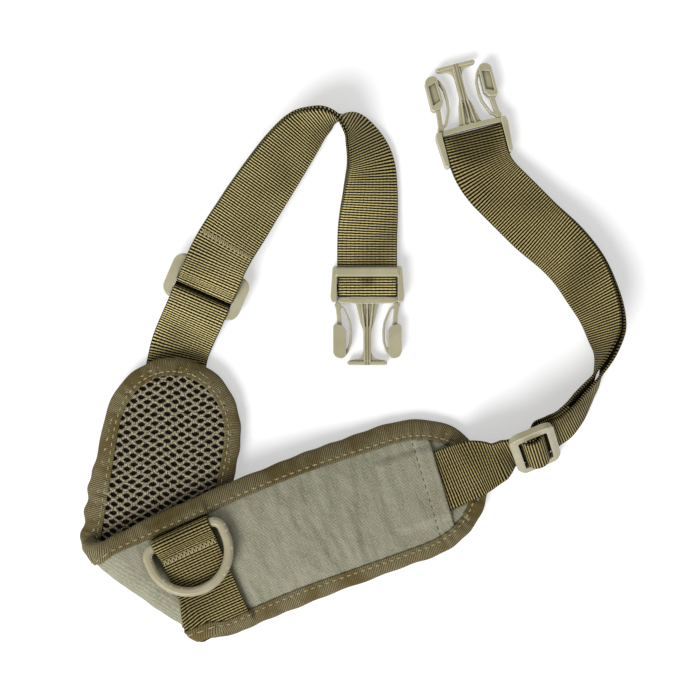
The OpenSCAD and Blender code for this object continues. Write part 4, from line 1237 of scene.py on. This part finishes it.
def strap_path(slider_s, bar_s, side):
    """The whole strap as (length along the spine, lift), in the order in which it is
    threaded: tail, tri-glide, outgoing run, turn at the buckle, returning run, sewn end."""
    dive = np.array([(4.65, -0.6), (5.2, -1.65), (5.95, 0.1 - UNDER_BAR),
                     (7.2, -UNDER_BAR - 0.05), (9, -UNDER_BAR), (12, -UNDER_BAR)])
    over = np.radians(np.arange(165, 14, -15))
    over = OVER_RADIUS * pairs(OVER_STRETCH * np.cos(over), np.sin(over))
    thread = np.concatenate([(dive * [-1, 1])[::-1], over, dive]) + [slider_s, 0]
    tail = pairs(np.arange(0, slider_s - 16, 7), 0.0)
    run_end = bar_s - FLEX_LENGTH - slider_s
    u = np.concatenate([np.arange(14, 40, 2), np.linspace(40, run_end, 24)])
    out = pairs(slider_s + u, out_lift(u, side))
    v = np.array([-22, -18, -15, -11, -7.5, -4])
    spread = np.interp(v, [-22, -15, -4, 0], [HALF_GAP, 1.1, TURN_RADIUS - 0.1, TURN_RADIUS])
    near = pairs(bar_s + v, spread)
    turn = arc(0, 0, TURN_RADIUS, np.arange(180, -1, -15)) * [1.33, 1] + [bar_s, 0]
    back = pairs(slider_s + u, back_lift(u, side))[::-1]
    low = -UNDER_BAR - 2 * UNDER_STEP
    middle = -UNDER_BAR - UNDER_STEP
    round_pin = np.radians(np.arange(0, 181, 20))
    sewn = np.concatenate([
        [(12, low), (9, low), (6, low - 0.05), (3.8, low), (2.2, -4.3), (1.3, -2.75)],
        -SEWN_RADIUS * pairs(np.sin(round_pin), np.cos(round_pin)),
        [(1.25, 1.55), (1.95, 0.2), (2.3, -1.2), (3.2, -2.95), (4.7, middle + 0.1),
         (6.8, middle), (9, middle), (12, middle)]]) + [slider_s, 0]
    w = np.array([14, 16, 18, 20, SEWN_END])
    end = pairs(slider_s + w, out_lift(w, side) - run_gap(w, side) / 2)
    return np.concatenate([tail, thread, out, near, turn, near[::-1] * [1, -1], back, sewn,
                           end])


def strap_grid(table, line, run, side):
    """Carries the webbing's section along part of a strap: x along the direction across, and
    y along the outward one, which is the spine's up, turned by the path's own slope."""
    place, along, across, up = frame_at(table, line[:, 0])
    slope = unit(np.gradient(line, axis=0))
    out = up * slope[:, :1] - along * side * slope[:, 1:]
    middle = place + side * line[:, 1:] * up
    x, y, uv = ribbed_section(run, WEBBING_WIDTH + STRAP_SPREAD)
    return middle[:, None] + x[..., None] * across[:, None] + y[..., None] * out[:, None], uv


def bend_at_bar(turn, table, bar_s):
    """The turn is taken off the body that dress gave it, so it rides on no body, and its place is
    baked into its mesh. Where a bend would start and end is found, but nothing uses it."""
    turn.parent = None
    del turn["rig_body"]
    start, end = in_metres(frame_at(table, bar_s + np.array(BEND_ZONE))[0])
    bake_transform(turn)


def make_strap(side_name, side, table, slider_s, bar_s):
    """The strap's two runs, its turn round the buckle's bar and its bar tack."""
    run, line = even_path(strap_path(slider_s, bar_s, side), RIB_STEP, 1.0)
    print(side_name, "strap: one piece of webbing", round(run[-1]), "mm long")
    flexes = np.flatnonzero(line[:, 0] > bar_s - FLEX_LENGTH)
    first, last = flexes[0], flexes[-1]
    *runs, turn = (skin(f"{side_name}_{part}", *strap_grid(table, line[p], run[p], side))
                   for part, p in (("run", slice(0, first + 1)), ("run", slice(last, None)),
                                   ("turn", slice(first, last + 1))))
    # The right strap takes the copy whose darker ribs are painted shade.
    look = webbing_look if side < 0 else shaded_webbing_look
    dress(join(f"{side_name}_strap", runs), look, "webbing", "harness",
          f"{side_name}_webbing")
    dress(turn, look, "webbing", f"{side_name}_buckle", f"{side_name}_buckle_turn")
    bend_at_bar(turn, table, bar_s)

    def on_back(x, y, lift):
        """Places on the returning run, x across it and y along it from the bar tack."""
        u = SEWN_END - TACK_BACK + y
        place, _, across, up = frame_at(table, (slider_s + u).ravel())
        h = back_lift(u, side) - WEBBING_THICKNESS / 2 - lift
        return (place + across * x.reshape(-1, 1)
                + side * up * h.reshape(-1, 1)).reshape(*x.shape, 3)

    tack = zigzag(f"{side_name}_bartack_thread", on_back, half_width=11.4, radius=0.3)
    dress(tack, thread_look, "thread", "harness", f"{side_name}_strap_bartack")


for strap in STRAPS:
    make_strap(*strap)

# %% [markdown]
# ## Moulded hardware
# The ring, tri-glides and buckle halves have the right shape in the solids, but knife-sharp
# edges. A moulding has soft edges, so each gets a skin on a fine even grid: a voxel remesh of
# a merged copy, then a few rounds of smoothing, which takes the edges back by a few tenths.

# %% Mouldings
def moulded(name, node, look, slot, body, voxel=0.22, rounds=5):
    """A softened copy of a solid, which stands for it. The voxel is in mm."""
    copy = add_object(name, frame["nodes"][node].data.copy())
    weld = copy.modifiers.new("weld", "WELD")
    weld.merge_threshold = 0.01 * MILLIMETRE
    remesh = copy.modifiers.new("even_grid", "REMESH")
    remesh.mode, remesh.voxel_size = "VOXEL", voxel * MILLIMETRE
    soften = copy.modifiers.new("soft_edges", "SMOOTH")
    soften.factor, soften.iterations = 0.5, rounds
    graph = bpy.context.evaluated_depsgraph_get()
    finished = bpy.data.meshes.new_from_object(copy.evaluated_get(graph))
    bpy.data.objects.remove(copy)
    finished.name = name
    finished.shade_smooth()
    print(name, len(finished.polygons), "faces")
    return dress(add_object(name, finished), look, slot, body, node)


moulded("ring_moulding", "d_ring", ring_look, "ring", "ring", voxel=0.25, rounds=8)
for side_name, _, table, _, bar_s in STRAPS:
    moulded(f"{side_name}_triglide", f"{side_name}_slider", buckle_look, "buckle", "harness")
    place, along, across, _ = (x[0] for x in frame_at(table, np.array([bar_s])))
    pronged_look = plastic_material(f"{side_name}_pronged", *BUCKLE_COLOURS,
                                    (in_metres(place), across, along))
    moulded(f"{side_name}_pronged_half", f"{side_name}_buckle_frame", pronged_look, "buckle",
            f"{side_name}_buckle")
    for letter in "ab":
        moulded(f"{side_name}_latch_{letter}_moulding", f"{side_name}_buckle_latch_{letter}",
                buckle_look, "buckle", f"{side_name}_latch_{letter}")

# %% [markdown]
# ## Floor, sky and lamp
# The strap lies on a plain white table. A large lamp low on the left gives the soft shadows
# that fall to the upper right, and a white sky fills them. The floor adds a little light of
# its own, which only the camera and reflections see, so that it shows white and still keeps
# the shadow.

# %% Floor and light
FLOOR_REACH = 3.0       # m from the middle to each edge
FLOOR_GLOW = 0.42       # light that the camera sees the floor give
SKY_FILL = 0.42         # strength of the sky's light on the strap; the camera sees it at 1


def seen(tree):
    """1 for the camera and for what is seen in gloss or through glass, 0 for light itself."""
    ray = add_node(tree, "LightPath", {})
    camera, glossy, through = (Wire(ray, f"Is {kind} Ray")
                               for kind in ("Camera", "Glossy", "Transmission"))
    return np.maximum(camera, np.maximum(glossy, through))


def make_floor():
    """A flat square at height 0."""
    mesh = bpy.data.meshes.new("floor")
    x = FLOOR_REACH
    mesh.from_pydata([(-x, -x, 0), (x, -x, 0), (x, x, 0), (-x, x, 0)], [], [(0, 1, 2, 3)])
    floor = add_object("floor", mesh)
    made, tree, shader = start_material("table", 0.9)
    put(shader.inputs["Base Color"], (0.74, 0.74, 0.75, 1))
    put(shader.inputs["Emission Color"], (1, 1, 1, 1))
    put(shader.inputs["Emission Strength"], FLOOR_GLOW * seen(tree))
    mesh.materials.append(made)


def make_sky():
    """An even white sky, weaker as a light than it is to the eye."""
    world = bpy.context.scene.world = bpy.data.worlds.new("white_sky")
    world.use_nodes = True
    background = world.node_tree.nodes["Background"]
    put(background.inputs["Color"], (1, 1, 1, 1))
    put(background.inputs["Strength"], SKY_FILL + (1 - SKY_FILL) * seen(world.node_tree))


def make_sun(name, azimuth, elevation, strength, softness):
    """A lamp far away. Its light comes from the azimuth, counted from +X, at an elevation."""
    data = bpy.data.lights.new(name, "SUN")
    data.energy, data.angle = strength, np.radians(softness)
    lamp = add_object(name, data)
    lamp.rotation_euler = (0, np.radians(90 - elevation), np.radians(azimuth))


make_floor()
make_sky()
make_sun("key_lamp", azimuth=238, elevation=46, strength=2.7, softness=30)
print("floor, sky and lamp ready")

# %% [markdown]
# ## Soft pieces, sizes and the end
# The flat size and area of the sheet that the lining and base are cut to, and of the face
# fabric, are worked out, and the area of the pad's outline is printed.

# %% Flat sizes
def cut(edge, half_length):
    """Flat size of a layer in metres, and its area in square metres: its length times the
    mean of its width."""
    size = (2 * (HALF_WIDTH - edge) * MILLIMETRE, 2 * half_length * MILLIMETRE)
    s = np.linspace(-half_length, half_length, 2001)
    area = float(np.mean(2 * nose_width(s, HALF_LENGTH - edge, HALF_WIDTH - edge))
                 * 2 * half_length) * MILLIMETRE ** 2
    return size, area


size, area = cut(SHEET_EDGE, SHEET_END)
size, area = cut(FACE_EDGE, HEM)
print("pad outline:", round(cut(0.0, HALF_LENGTH)[1] * 1e4, 1), "square centimetres")
